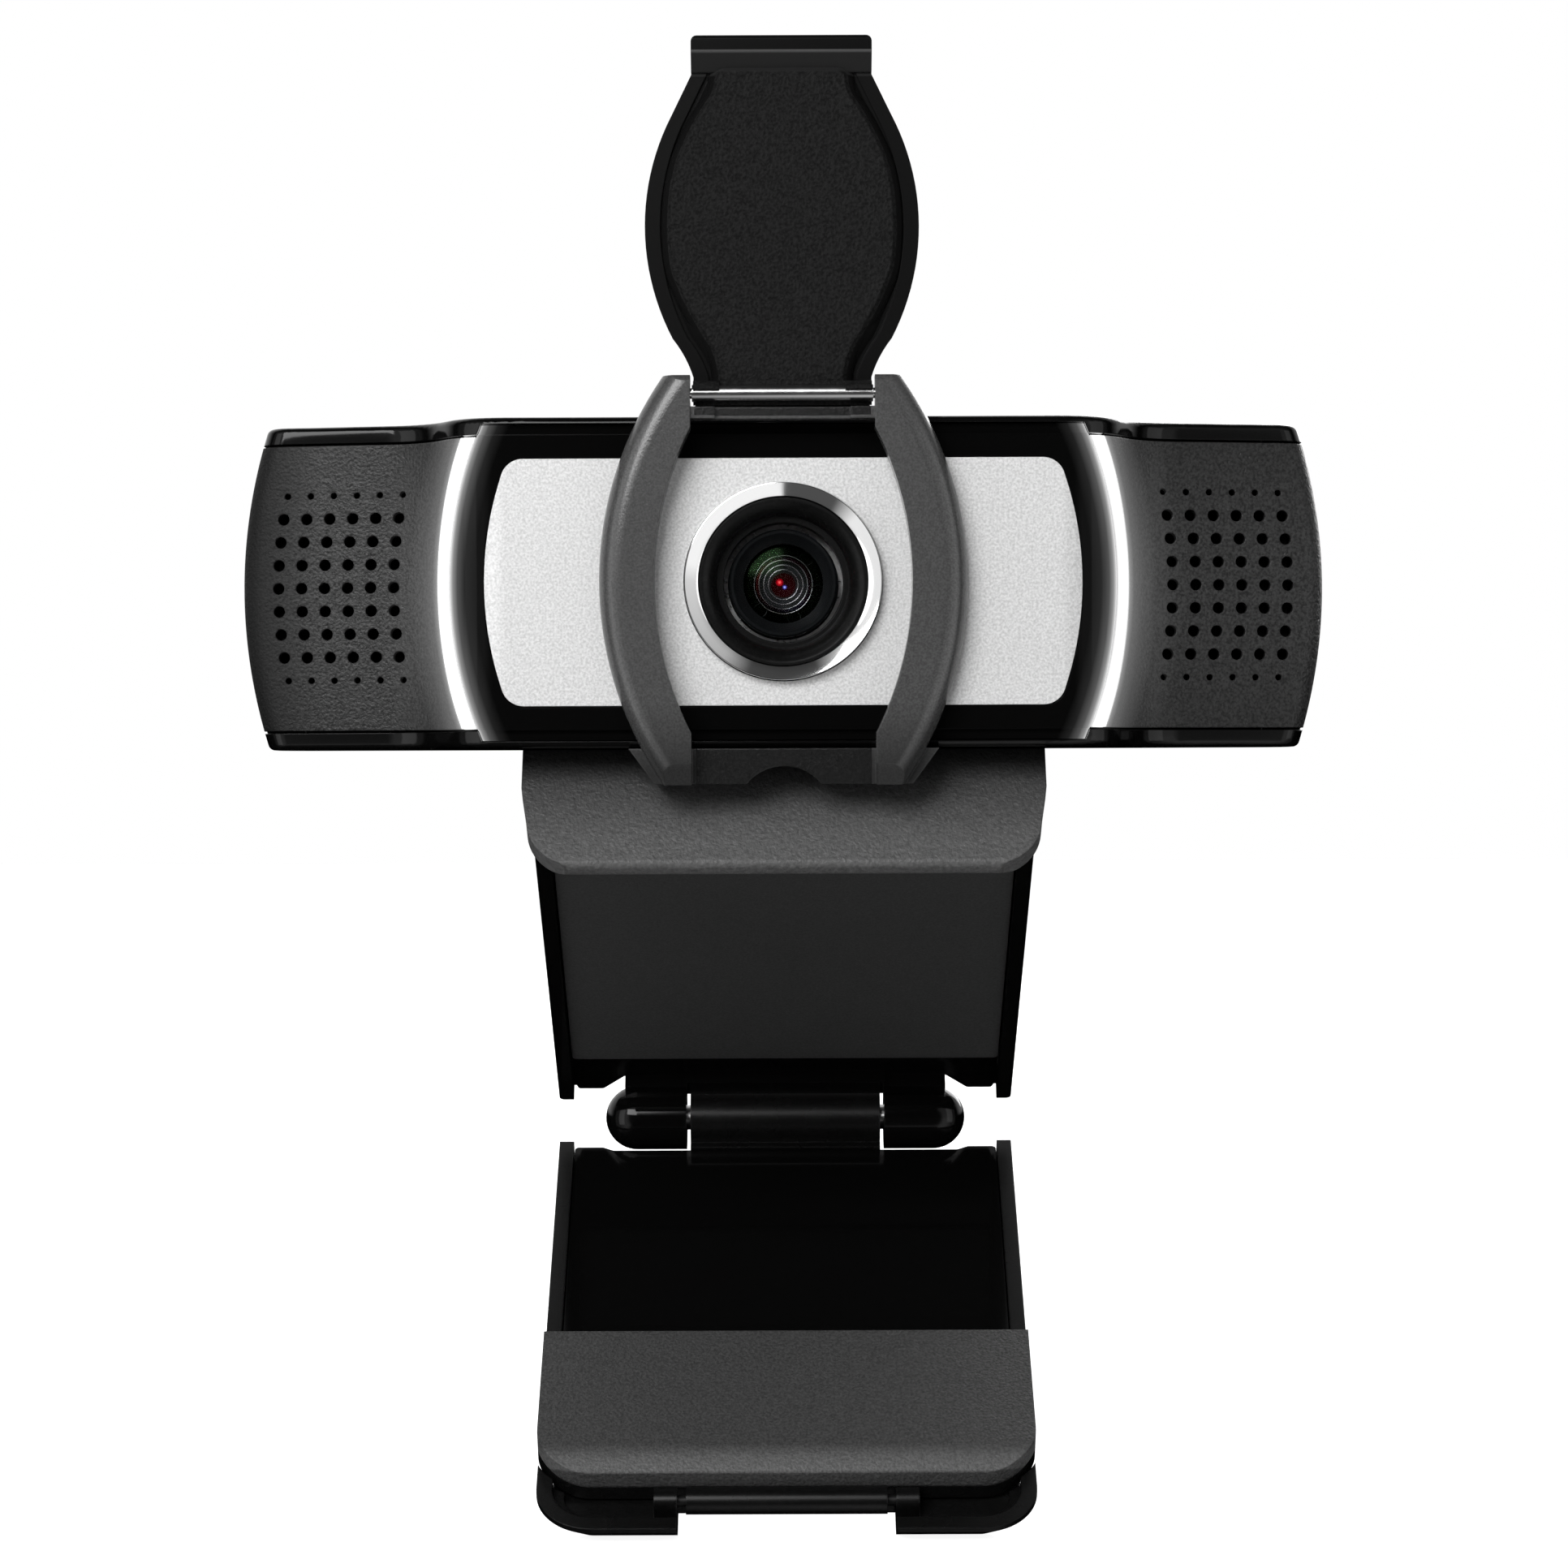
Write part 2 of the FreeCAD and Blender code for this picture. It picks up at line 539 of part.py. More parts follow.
def lower_cover(frame):
    """Glossy cover let into the lower plate, cut round behind the knuckles."""
    body = new_body("lower_cover", frame)
    half = value("clip_half_width - rail_width - seam")
    start, end = value("lower_start + 0.3"), value("foot_start - seam")
    plan = rounded([(-half, -start, 0.4), (-value("ear_inner"), -start, 0.4),
                    (-value("ear_inner - 1"), -value("plate_back + 0.2"), 0.5),
                    (value("ear_inner - 1"), -value("plate_back + 0.2"), 0.5),
                    (value("ear_inner"), -start, 0.4), (half, -start, 0.4),
                    (half, -end, 0.3), (-half, -end, 0.3)])
    pad(body, "top", outline(plan), "-tray_floor", "cover_thick - tray_floor")
    return body


def thread_insert(frame):
    """Brass insert of the tripod thread, blind under the cover."""
    body = new_body("thread_insert", frame)
    ring = both(circle("0", "-thread_reach", "insert_radius"),
                circle("0", "-thread_reach", "thread_radius"))
    pad(body, "top", ring, "-(rail_gap + lower_thick)", "-tray_floor")
    return body


def hinge_pin(frame):
    """Steel pin pressed into the middle knuckle; the friction sleeves grip its ends."""
    body = new_body("hinge_pin", frame)
    pad(body, "side", circle("0", "0", "hinge_pin_radius"),
        "-(knuckle_end - dome_wall)", "knuckle_end - dome_wall")
    return body


def foot_pin(frame):
    body = new_body("foot_pin", frame)
    pad(body, "side", circle("-foot_axis", "-foot_axis_drop", "foot_pin_radius"),
        "-foot_pin_half", "foot_pin_half")
    return body


# --- folding foot -------------------------------------------------------------------------

def foot_section(top, bottom):
    """Side profile of the foot between two heights, bent down towards its hinge end."""
    start, bend, end = value("foot_start"), value("foot_bend"), value("foot_end")
    fall, middle = value("foot_fall"), (value("foot_bend") + value("foot_end")) / 2
    return path((-start, bottom), (-start, top), (-bend, top),
                ((-middle, top - fall / 4), (-end, top - fall)), (-end, bottom - fall),
                ((-middle, bottom - fall / 4), (-bend, bottom)))


def foot_trim(body):
    """Cuts the foot's section to its rounded plan."""
    half, start, end = value("foot_half"), value("foot_start"), value("foot_end")
    corner = value("foot_corner")
    shoulder = corner * (1 - math.sqrt(0.5))
    waste = path((-half - 1, -end + corner), (-half, -end + corner),
                 ((-half + shoulder, -end + shoulder), (-half + corner, -end)),
                 (-half + corner, -end - 1), (-half - 1, -end - 1))
    pocket(body, "top", outline(mirrored(waste)), "-10", "10")


def foot_base(frame):
    """Plastic base of the foot with the knuckle it folds on."""
    body = new_body("foot_base", frame)
    top = value("foot_rise - foot_pad_thick")
    section = foot_section(top, top - value("foot_base_thick"))
    pad(body, "side", outline(section), "-foot_half", "foot_half")
    foot_trim(body)
    axis, drop = value("foot_axis"), value("foot_axis_drop")
    knuckle, end = value("foot_knuckle"), value("foot_end")
    slope = value("foot_rise - foot_pad_thick - foot_fall")
    tab = path((-end + 0.8, slope - 0.1), (-end, slope - 0.1),
               ((-axis - knuckle * math.sqrt(0.5), -drop + knuckle * math.sqrt(0.5)),
                (-axis - knuckle, -drop)),
               ((-axis, -drop - knuckle), (-axis + knuckle, -drop)),
               (-end + 0.8, slope - 0.9))
    pad(body, "side", outline(tab), "-foot_tab_half", "foot_tab_half")
    bore = circle("-foot_axis", "-foot_axis_drop", "foot_pin_radius + running_fit")
    pocket(body, "side", bore, "-(foot_tab_half + 1)", "foot_tab_half + 1")
    return body


def foot_pad(frame):
    """Rubber that bears on the back of a monitor."""
    body = new_body("foot_pad", frame)
    top = value("foot_rise")
    section = foot_section(top, top - value("foot_pad_thick"))
    pad(body, "side", outline(section), "-foot_half", "foot_half")
    foot_trim(body)
    return body


# --- upper clip ---------------------------------------------------------------------------

def upper_tray(frame):
    """Moulded tray of the upper plate: rails, two domed knuckles and the pad's seat."""
    body = new_body("upper_tray", frame)
    half, start, ear = value("clip_half_width"), value("upper_start"), value("tray_ear")
    step, end = half - value("rail_width + rail_gap"), value("lip_inside - seam")
    inner, slant = value("ear_inner"), value("ear_inner - ear_slant")
    right = [(slant, -value("tray_back"), 1.0), (inner, -ear, 0.4), (step, -ear, 0.3),
             (step + 0.2, -start, 0), (half, -start, 0.5), (half, -end, 0.5)]
    left = [(-across, back, radius) for across, back, radius in reversed(right)]
    pad(body, "top", outline(rounded(right + left)), "rail_gap", "upper_split")
    tray = rectangle("-(clip_half_width - rail_width)", "-(lip_inside + 1)",
                     "clip_half_width - rail_width", "0")
    pocket(body, "top", tray, "0", "pad_recess + pad_thick")
    inner, outer = "knuckle_half + knuckle_gap", "knuckle_end - dome_wall"
    # the wall behind the pad hangs down over the middle knuckle
    wall = rectangle("-(tray_back + wall_thick)", "rail_gap + neck_step",
                     "-(barrel_hinge + knuckle_gap)", "upper_split")
    pad(body, "side", wall, f"-({inner})", inner)
    for side in ("", "-"):
        ends = (inner, outer) if side == "" else (f"-({outer})", f"-({inner})")
        neck = rectangle("-tray_back", "rail_gap + neck_step", "0", "upper_split")
        pad(body, "side", neck, *ends)
        dome(body, side)
        pocket(body, "side", circle("0", "0", "sleeve_radius"), *ends)
    return body


def dome(body, side):
    """A knuckle turned about the hinge, with a domed outer end."""
    sketch = new_sketch(body, "front", "0", outline(knuckle_profile(-1 if side else 1)))
    feature = body.newObject("PartDesign::Revolution", f"{body.Label}_knuckle")
    feature.Profile = sketch
    feature.ReferenceAxis = (sketch, ["H_Axis"])
    feature.Angle = 360
    document.recompute()


def knuckle_profile(way):
    inner, outer = value("knuckle_half + knuckle_gap"), value("knuckle_end")
    radius = value("barrel_hinge")
    slant = radius * math.sqrt(0.5)
    return path((way * inner, 0), (way * inner, radius), (way * (outer - radius), radius),
                ((way * (outer - radius + slant), slant), (way * outer, 0)))


def friction_sleeves(frame):
    """Two split-spring sleeves pressed into the outer knuckles."""
    rings = []
    for way in (1, -1):
        start = value("knuckle_half + knuckle_gap")
        length = value("knuckle_end - dome_wall") - start
        base, along_axis = Vector(way * start, 0, 0), Vector(way, 0, 0)
        outer = Part.makeCylinder(value("sleeve_radius"), length, base, along_axis)
        inner = Part.makeCylinder(value("hinge_pin_radius + running_fit"), length, base, along_axis)
        rings.append(outer.cut(inner))
    return placed("friction_sleeves", frame, Part.makeCompound(rings))


def upper_cover(frame):
    """Outer cover of the upper plate, running down into the lip, with the tilt ears on top."""
    body = new_body("upper_cover", frame)
    split, top, lip_top = value("upper_split"), value("upper_top"), value("lip_top")
    inside, outside = value("lip_inside"), value("lip_inside + lip_thick")
    drop, start = -value("lip_drop"), value("upper_start + 0.3")
    slope = value("lip_inside - slope_back")
    section = rounded([(-start, split, 0.3), (-start, top, 1.5), (-slope, top, 9),
                       (-outside, lip_top, 0.3), (-outside, drop, 0.6), (-inside, drop, 0.8),
                       (-inside, split, 0)])
    pad(body, "side", outline(section), "-lip_half_width", "lip_half_width")
    half, corner = value("lip_half_width"), value("lip_corner")
    low = half - value("lip_taper")
    shoulder = corner * (1 - math.sqrt(0.5))
    waste = path((-half - 1, 0), (-half, 0), (-low, drop + corner),
                 ((-low + shoulder, drop + shoulder), (-low + corner, drop)),
                 (-low + corner, drop - 1), (-half - 1, drop - 1))
    pocket(body, "front", outline(mirrored(waste)), "lip_inside - 1", "lip_inside + lip_thick + 1")
    plate, flare = value("clip_half_width"), value("lip_inside - flare_back")
    waste = path((-half - 1, 0), (-plate, 0), (-plate, -flare), (-half, -inside),
                 (-half - 1, -inside))
    pocket(body, "top", outline(mirrored(waste)), "0", "upper_top + 1")
    pocket(body, "top", rectangle("-ear_inner", "-plate_back", "ear_inner", "0"), "0",
           "upper_top + 1")
    axis, height, radius = value("lip_inside - tilt_back"), value("tilt_height"), value("lug_radius")
    foot = value("upper_top") - 1
    ear = path((-axis - radius, foot), (-axis - radius, height),
               ((-axis, height + radius), (-axis + radius, height)), (-axis + radius, foot))
    inner = "lug_half + washer_thick + seam"
    pad(body, "side", outline(ear), inner, f"{inner} + ear_width")
    pad(body, "side", outline(ear), f"-({inner} + ear_width)", f"-({inner})")
    pocket(body, "side", circle("-(lip_inside - tilt_back)", "tilt_height", "lug_radius + 0.3"),
           f"-({inner})", inner)
    pocket(body, "side", circle("-(lip_inside - tilt_back)", "tilt_height", "tilt_pin_radius"),
           f"-({inner} + ear_width + 1)", f"{inner} + ear_width + 1")
    return body


def upper_pad(frame):
    """Rubber pad that sits on the top edge of a monitor."""
    body = new_body("upper_pad", frame)
    half, start = value("clip_half_width - rail_width - pad_fit"), value("pad_start")
    end = value("lip_inside - pad_end")
    plan = rounded([(-half, -start, 0.5), (half, -start, 0.5), (half, -end, 0.5),
                    (-half, -end, 0.5)])
    pad(body, "top", outline(plan), "pad_recess", "pad_recess + pad_thick")
    return body


def tilt_pin(frame):
    body = new_body("tilt_pin", frame)
    reach = "lug_half + washer_thick + seam + ear_width - pin_inset"
    pad(body, "side", circle("-(lip_inside - tilt_back)", "tilt_height", "tilt_pin_radius"),
        f"-({reach})", reach)
    return body


def tilt_washers(frame):
    """A friction washer at each side of the camera's lug."""
    rings = []
    for way in (1, -1):
        base = Vector(way * value("lug_half + seam / 2"), -value("lip_inside - tilt_back"),
                      value("tilt_height"))
        thick, ahead = value("washer_thick"), Vector(way, 0, 0)
        disc = Part.makeCylinder(value("lug_radius - washer_inset"), thick, base, ahead)
        rings.append(disc.cut(Part.makeCylinder(value("tilt_pin_radius + seam"), thick, base, ahead)))
    return placed("tilt_washers", frame, Part.makeCompound(rings))


# --- camera housing -----------------------------------------------------------------------

def housing_wire(height, inset=0.0, tip_in=0.0):
    """Plan outline of the housing, set in by a wall and drawn in at the wing tips."""
    tip = value("body_half_width") - tip_in
    right = [(value("flat_corner"), 0, value("flat_corner_radius")),
             (value("wing_corner"), value("wing_setback"), value("wing_corner_radius")),
             (tip, value("tip_setback"), value("tip_radius")),
             (tip, value("tip_back"), value("tip_back_radius"))]
    crown = [(0, value("body_depth"), value("back_crown_radius"))]
    left = [(-across, back, radius) for across, back, radius in reversed(right)]
    wire = Part.Wire([curve.toShape() for curve in rounded(right + crown + left)])
    if inset:
        wire = wire.makeOffset2D(-inset)
    wire.translate(Vector(0, 0, height))
    return wire


def straight_housing(inset, half_height):
    """The housing's plan extruded, true wherever the tips don't come in."""
    return Part.Face(housing_wire(-half_height, inset)).extrude(Vector(0, 0, 2 * half_height))


def bulged_housing(inset, half_height):
    """The housing lofted from its waist, where it is widest, to both ends."""
    tip_in = value("tip_bulge") * (half_height / value("body_half_height")) ** 2
    wires = [housing_wire(-half_height, inset, tip_in), housing_wire(0, inset),
             housing_wire(half_height, inset, tip_in)]
    return Part.makeLoft(wires, True, False)


def box(left, front, bottom, right, back, top):
    return Part.makeBox(right - left, back - front, top - bottom, Vector(left, front, bottom))


def bar(radius, across, up, front, back):
    """A cylinder along the lens axis between two depths."""
    return Part.makeCylinder(radius, back - front, Vector(across, front, up), Vector(0, 1, 0))


def bow_cylinder(radius, side):
    """Cylinder along the lens axis whose wall is the bowed edge of the middle panels."""
    centre = side * value("guide_inner - guide_bow")
    return bar(radius, centre, 0, -2, value("wing_setback") + 3)


def middle_region(grow):
    """What lies between the two light guides, as seen from the front."""
    radius = value("guide_bow") + grow
    return bow_cylinder(radius, 1).common(bow_cylinder(radius, -1))


def plate_region(grow, back):
    """Outline of the faceplate with bowed sides, extruded along the lens axis."""
    radius, half, top = value("plate_bow"), value("plate_half_width"), value("plate_half_height")
    centre = half - radius
    rise = top * 0.8
    lean = math.asin(rise / radius)
    corner_across = centre + radius * math.cos(lean) - (top - rise) * math.tan(lean)
    vertex = centre + radius / math.cos(lean)
    corner = value("plate_corner")
    loop = rounded([(corner_across, -top, corner), (vertex, 0, radius), (corner_across, top, corner),
                    (-corner_across, top, corner), (-vertex, 0, radius),
                    (-corner_across, -top, corner)])
    wire = Part.Wire([curve.toShape() for curve in loop])
    if grow:
        wire = wire.makeOffset2D(grow)
    face = Part.Face(wire)
    face.rotate(Vector(0, 0, 0), Vector(1, 0, 0), 90)
    face.translate(Vector(0, -1, 0))
    return face.extrude(Vector(0, back + 1, 0))


def board_posts():
    """Where the four posts of the main board stand."""
    across, up = value("post_across"), value("post_up")
    return [(side * across, end * up) for side in (-1, 1) for end in (-1, 1)]


def rear_shell(frame):
    """Back of the housing with its top and bottom skins, open at the front."""
    half, wall, parting = value("body_half_height"), value("shell_wall"), value("shell_parting")
    wide = value("body_half_width") + 1
    shell = bulged_housing(0, half)
    rim_edges = [edge for edge in shell.Edges if abs(abs(edge.CenterOfMass.z) - half) < 0.01]
    shell = shell.makeFillet(value("edge_round"), rim_edges)
    inside = half - wall
    shell = shell.cut(bulged_housing(wall, inside))
    shell = shell.cut(box(-wide, -1, -inside, wide, parting, inside))
    window = middle_region(value("seam")).common(
        box(-wide, -1, -value("bezel_half_height + seam"), wide, value("skin") + 3,
            value("bezel_half_height + seam")))
    shell = shell.cut(window)
    back, radius = value("body_depth"), value("post_radius")
    posts = [bar(radius, across, up, value("board_depth + board_thick"), back)
             for across, up in board_posts()]
    side_across, side_up = value("microphone_across + 1"), value("post_up") / 2
    posts += [bar(0.8 * radius, side * side_across, up, value("shell_parting - board_thick"), back)
              for side in (-1, 1) for up in (-side_up, side_up)]
    shell = shell.fuse(Part.makeCompound(posts).common(bulged_housing(wall / 2, inside)))
    tilt, gap = value("tilt_setback"), 0.1
    slot_half, slot_deep = value("spigot_half_width") + gap, value("spigot_half_depth") + gap
    lug_slot = box(-slot_half, tilt - slot_deep, -half - 1, slot_half, tilt + slot_deep,
                   gap - inside)
    inlet = bar(value("inlet_radius"), 0, -value("inlet_drop"), back - 3, back + 3)
    return placed("rear_shell", frame, shell.cut(lug_slot).cut(inlet))


def front_bezel(frame):
    """Glossy middle panel: glass, stepped rim, seat of the faceplate and lens opening."""
    glass = straight_housing(0, value("glass_half_height"))
    rim = straight_housing(value("rim_step"), value("bezel_half_height"))
    panel = glass.fuse(rim).common(middle_region(0))
    panel = panel.cut(straight_housing(value("skin"), value("bezel_half_height + 1")))
    seat = plate_region(value("seam"), 3).cut(straight_housing(value("plate_thick"), 20))
    panel = panel.cut(seat).cut(bar(value("ring_inner + seam"), 0, 0, -1, 4))
    return placed("front_bezel", frame, panel)


def faceplate(frame):
    """Metal plate round the lens, let into the bezel."""
    plate = straight_housing(0, 20).cut(straight_housing(value("plate_thick"), 21))
    plate = plate.common(plate_region(0, 3))
    plate = plate.cut(bar(value("ring_outer + seam"), 0, 0, -1, 4))
    return placed("faceplate", frame, plate)


def side_region(side):
    """Everything to one side of the lens, in front of the rear shell."""
    near, far = 20.0, value("body_half_width") + 1
    left, right = (near, far) if side > 0 else (-far, -near)
    height = value("glass_half_height - 2 * seam")
    return box(left, -1, -height, right, value("shell_parting - seam"), height)


def light_guide(name, side, frame):
    """Curved translucent strip between bezel and wing."""
    wall = straight_housing(0, 20).cut(straight_housing(value("guide_depth"), 21))
    outer = bow_cylinder(value("guide_bow + guide_width"), side)
    guide = wall.common(side_region(side)).common(outer)
    return placed(name, frame, guide.cut(bow_cylinder(value("guide_bow + seam"), side)))


def grille_holes(side):
    """Nine rows of six holes; the end rows are small and each column bows to the tip."""
    holes = []
    for row in range(-4, 5):
        up = row * value("hole_pitch")
        bow = value("grille_bow") * (1 - (row / 4) ** 2)
        radius = value("small_hole_radius") if abs(row) == 4 else value("hole_radius")
        for column in range(6):
            across = value("grille_start") + column * value("column_pitch") + bow
            holes.append(bar(radius, side * across, up, 0, value("shell_parting")))
    return holes


def wing(name, side, frame):
    """Grained wing that wraps round the tip, drilled for the microphone."""
    height = value("glass_half_height - seam")
    skin = bulged_housing(0, height).cut(bulged_housing(value("skin"), height + 0.5))
    panel = skin.common(side_region(side))
    panel = panel.cut(bow_cylinder(value("guide_bow + guide_width + seam"), side))
    return placed(name, frame, panel.cut(grille_holes(side)))


def cable_inlet(frame):
    """Collar in the back that the cable would enter."""
    back, drop, radius = value("body_depth"), -value("inlet_drop"), value("inlet_radius")
    end = back + value("collar_rise")
    collar = bar(radius - 0.05, 0, drop, back - value("collar_depth"), end)
    collar = collar.fuse(bar(radius + value("collar_rim"), 0, drop, back - 0.02, end))
    collar = collar.cut(bar(0.6 * radius, 0, drop, back - 1.0, back + 2))
    return placed("cable_inlet", frame, collar)


def tilt_lug(frame):
    """Lug under the housing that turns on the tilt pin, with its spigot in the bottom skin."""
    body = new_body("tilt_lug", frame)
    axis, drop, radius = value("tilt_setback"), -value("tilt_drop"), value("lug_radius")
    top = -value("body_half_height")
    section = path((axis - radius, top), (axis - radius, drop), ((axis, drop - radius),
                   (axis + radius, drop)), (axis + radius, top))
    pad(body, "side", outline(section), "-lug_half", "lug_half")
    spigot = rectangle("tilt_setback - spigot_half_depth", "-body_half_height",
                       "tilt_setback + spigot_half_depth", "shell_wall - body_half_height")
    pad(body, "side", spigot, "-spigot_half_width", "spigot_half_width")
    pocket(body, "side", circle("tilt_setback", "-tilt_drop", "tilt_pin_radius + running_fit"),
           "-(lug_half + 1)", "lug_half + 1")
    return body


# --- lens ---------------------------------------------------------------------------------

def lens_ring(frame):
    """Bright trim ring, its face sloping in to the hood."""
    body = new_body("lens_ring", frame)
    seat, front = value("plate_thick"), -value("ring_height")
    inner, outer = value("ring_inner"), value("ring_outer")
    turned(body, outline(rounded([(seat, inner, 0), (front + 0.5, inner, 0.15),
                                  (front, outer, 0.35), (seat, outer, 0)])))
    return body


def lens_hood(frame):
    """Black funnel inside the ring, flanged behind the bezel."""
    body = new_body("lens_hood", frame)
    outer, mouth, front = value("ring_inner - seam"), value("hood_mouth"), -value("hood_front")
    seat = value("skin") + 0.02
    bore, back = value("barrel_radius + hood_clear"), value("barrel_front + hood_reach")
    flange, tube = outer + value("hood_flange"), bore + value("hood_wall")
    turned(body, outline(path((front, outer), (seat, outer), (seat, flange), (seat + 1, flange),
                              (seat + 1, tube), (back, tube), (back, bore),
                              (seat + 0.1, bore), (seat + 0.1, mouth),
                              ((front + 0.7, mouth + 0.35), (front, outer - 0.3)))))
    return body


def lens_barrel(frame):
    """Barrel that slides to focus, with a polished cone in front of the glass."""
    body = new_body("lens_barrel", frame)
    front, radius, glass = value("barrel_front"), value("barrel_radius"), value("glass_radius")
    back, bore = front + value("barrel_length"), value("barrel_bore")
    seat = front + value("barrel_seat + lens_thick + retainer_thick")
    turned(body, outline(path((front, radius - 0.15), (front + 0.15, radius), (back, radius),
                              (back, bore), (seat, bore), (seat, glass), (front + 1.1, glass),
                              (front, radius - 0.35))))
    return body


def dome_middle(rim, height, radius):
    """Middle of the arc from a lens's rim to its crown, centred on the lens axis."""
    sphere = (radius ** 2 + height ** 2) / (2 * abs(height))
    sag = sphere - math.sqrt(sphere ** 2 - radius ** 2 / 4)
    crown = rim + height
    return (crown - math.copysign(sag, height), radius / 2)


def front_lens(frame):
    """Domed front lens."""
    body = new_body("front_lens", frame)
    radius = value("glass_radius")
    seat = value("barrel_front + barrel_seat")
    back = seat + value("lens_thick")
    turned(body, outline(path((back, 0), (back, radius), (seat, radius),
                              (dome_middle(seat, -0.6, radius), (seat - 0.6, 0)))))
    return body


def lens_retainer(frame):
    """Ring behind the front lens that holds it in the barrel."""
    body = new_body("lens_retainer", frame)
    seat, outer = value("barrel_front + barrel_seat + lens_thick"), value("glass_radius")
    back, bore = seat + value("retainer_thick"), 0.6 * outer
    turned(body, outline(path((seat, outer), (seat, bore + 0.25), (seat + 0.5, bore), (back, bore),
                              (back, outer))))
    return body


def aperture_stop(frame):
    body = new_body("aperture_stop", frame)
    seat, hole = value("barrel_front + barrel_seat + lens_thick + retainer_thick"), value("stop_radius")
    back, bore = seat + 0.3, value("barrel_bore")
    turned(body, outline(path((seat, bore), (seat, hole), (back, hole + 0.2), (back, bore))))
    return body


def rear_lens(frame):
    """Rear lens group behind the aperture."""
    body = new_body("rear_lens", frame)
    seat = value("barrel_front + barrel_seat + lens_thick + retainer_thick") + 0.4
    radius, rim = value("barrel_bore"), seat + value("barrel_length") * 0.47
    turned(body, outline(path((seat, 0), (seat, radius), (rim, radius),
                              (dome_middle(rim, 0.5, radius), (rim + 0.5, 0)))))
    return body


def focus_housing(frame):
    """Focus motor round the barrel, standing on the main board over the sensor."""
    body = new_body("focus_housing", frame)
    block = rectangle("-housing_half", "-housing_half", "housing_half", "housing_half")
    pad(body, "front", block, "-board_depth", "-(barrel_front + housing_start)")
    soften(body, "0.8", lambda edge: along(edge, "y"))
    pocket(body, "front", circle("0", "0", "barrel_radius + running_fit"),
           "-(board_depth - 2.6)", "0")
    chamber = rectangle("-filter_half", "-filter_half", "filter_half", "filter_half")
    pocket(body, "front", chamber, "-board_depth", "0")
    return body


def focus_spring(frame):
    """Flat spring over the motor that returns the barrel."""
    body = new_body("focus_spring", frame)
    half = "housing_half - spring_inset"
    ring = both(rectangle(f"-({half})", f"-({half})", half, half),
                circle("0", "0", "barrel_radius + spring_fit"))
    pad(body, "front", ring, "-(barrel_front + housing_start)",
        "-(barrel_front + housing_start - spring_thick)")
    return body


def ir_filter(frame):
    body = new_body("ir_filter", frame)
    half = "filter_half - 0.05"
    pane = rectangle(f"-({half})", f"-({half})", half, half)
    pad(body, "front", pane, "-(board_depth - filter_depth + filter_thick)",
        "-(board_depth - filter_depth)")
    return body


def image_sensor(frame):
    body = new_body("image_sensor", frame)
    die = rectangle("-filter_half * 0.9", "-filter_half * 0.7", "filter_half * 0.9",
                    "filter_half * 0.7")
    pad(body, "front", die, "-board_depth", "-(board_depth - sensor_thick)")
    return body


# --- electronics --------------------------------------------------------------------------

def main_board(frame):
    """Circuit board on the rear shell's posts."""
    body = new_body("main_board", frame)
    wide, tall = value("board_half_width"), value("board_half_height")
    plan = rounded([(-wide, -tall, 1.5), (wide, -tall, 1.5), (wide, tall, 1.5), (-wide, tall, 1.5)])
    pad(body, "front", outline(plan), "-(board_depth + board_thick)", "-board_depth")
    for across in ("post_across", "-post_across"):
        for up in ("post_up", "-post_up"):
            pocket(body, "front", circle(across, up, "screw_radius + 0.1"),
                   "-(board_depth + board_thick)", "-board_depth")
    return body


def board_screws(frame):
    """Four screws that hold the main board to its posts."""
    screws = []
    seat, radius = value("board_depth"), value("screw_radius")
    for across, up in board_posts():
        head = bar(1.9 * radius, across, up, seat - 1.0, seat)
        screws.append(head.fuse(bar(radius, across, up, seat, seat + value("board_thick"))))
    return placed("board_screws", frame, Part.makeCompound(screws))


def board_chips(frame):
    """Processor, memory and cable header on the back of the main board."""
    face = value("board_depth + board_thick")
    wide, tall = value("board_half_width"), value("board_half_height")
    chips = [box(-0.5 * wide, face, -0.5 * tall, -0.15 * wide, face + 1.0, 0.5 * tall),
             box(0.15 * wide, face, -0.1 * tall, 0.4 * wide, face + 0.8, 0.6 * tall),
             box(-0.15 * wide, face, -0.95 * tall, 0.15 * wide, face + 2.2, -0.65 * tall)]
    return placed("board_chips", frame, Part.makeCompound(chips))


def microphone(name, side, frame):
    """Microphone capsule on its small board, behind the wing's grille."""
    seat, thick = value("shell_parting - board_thick"), value("board_thick") * 2 / 3
    across, half = side * value("microphone_across + 1"), value("microphone_board")
    board = box(across - half, seat - thick, -half, across + half, seat, half)
    capsule = bar(value("microphone_radius"), side * value("microphone_across"), 0,
                  seat - thick - 0.9, seat - thick / 2)
    return placed(name, frame, board.fuse(capsule))


def light_board(name, side, frame):
    """Strip of lamps behind a light guide."""
    body = new_body(name, frame)
    near, far = "guide_inner - 1.7", "guide_inner + 1.1"
    left, right = (near, far) if side > 0 else (f"-({far})", f"-({near})")
    tall = "board_half_height + 1"
    pad(body, "front", rectangle(left, f"-({tall})", right, tall),
        "-(wing_setback + 2.6)", "-(wing_setback + 1.8)")
    return body


# --- privacy shutter ----------------------------------------------------------------------

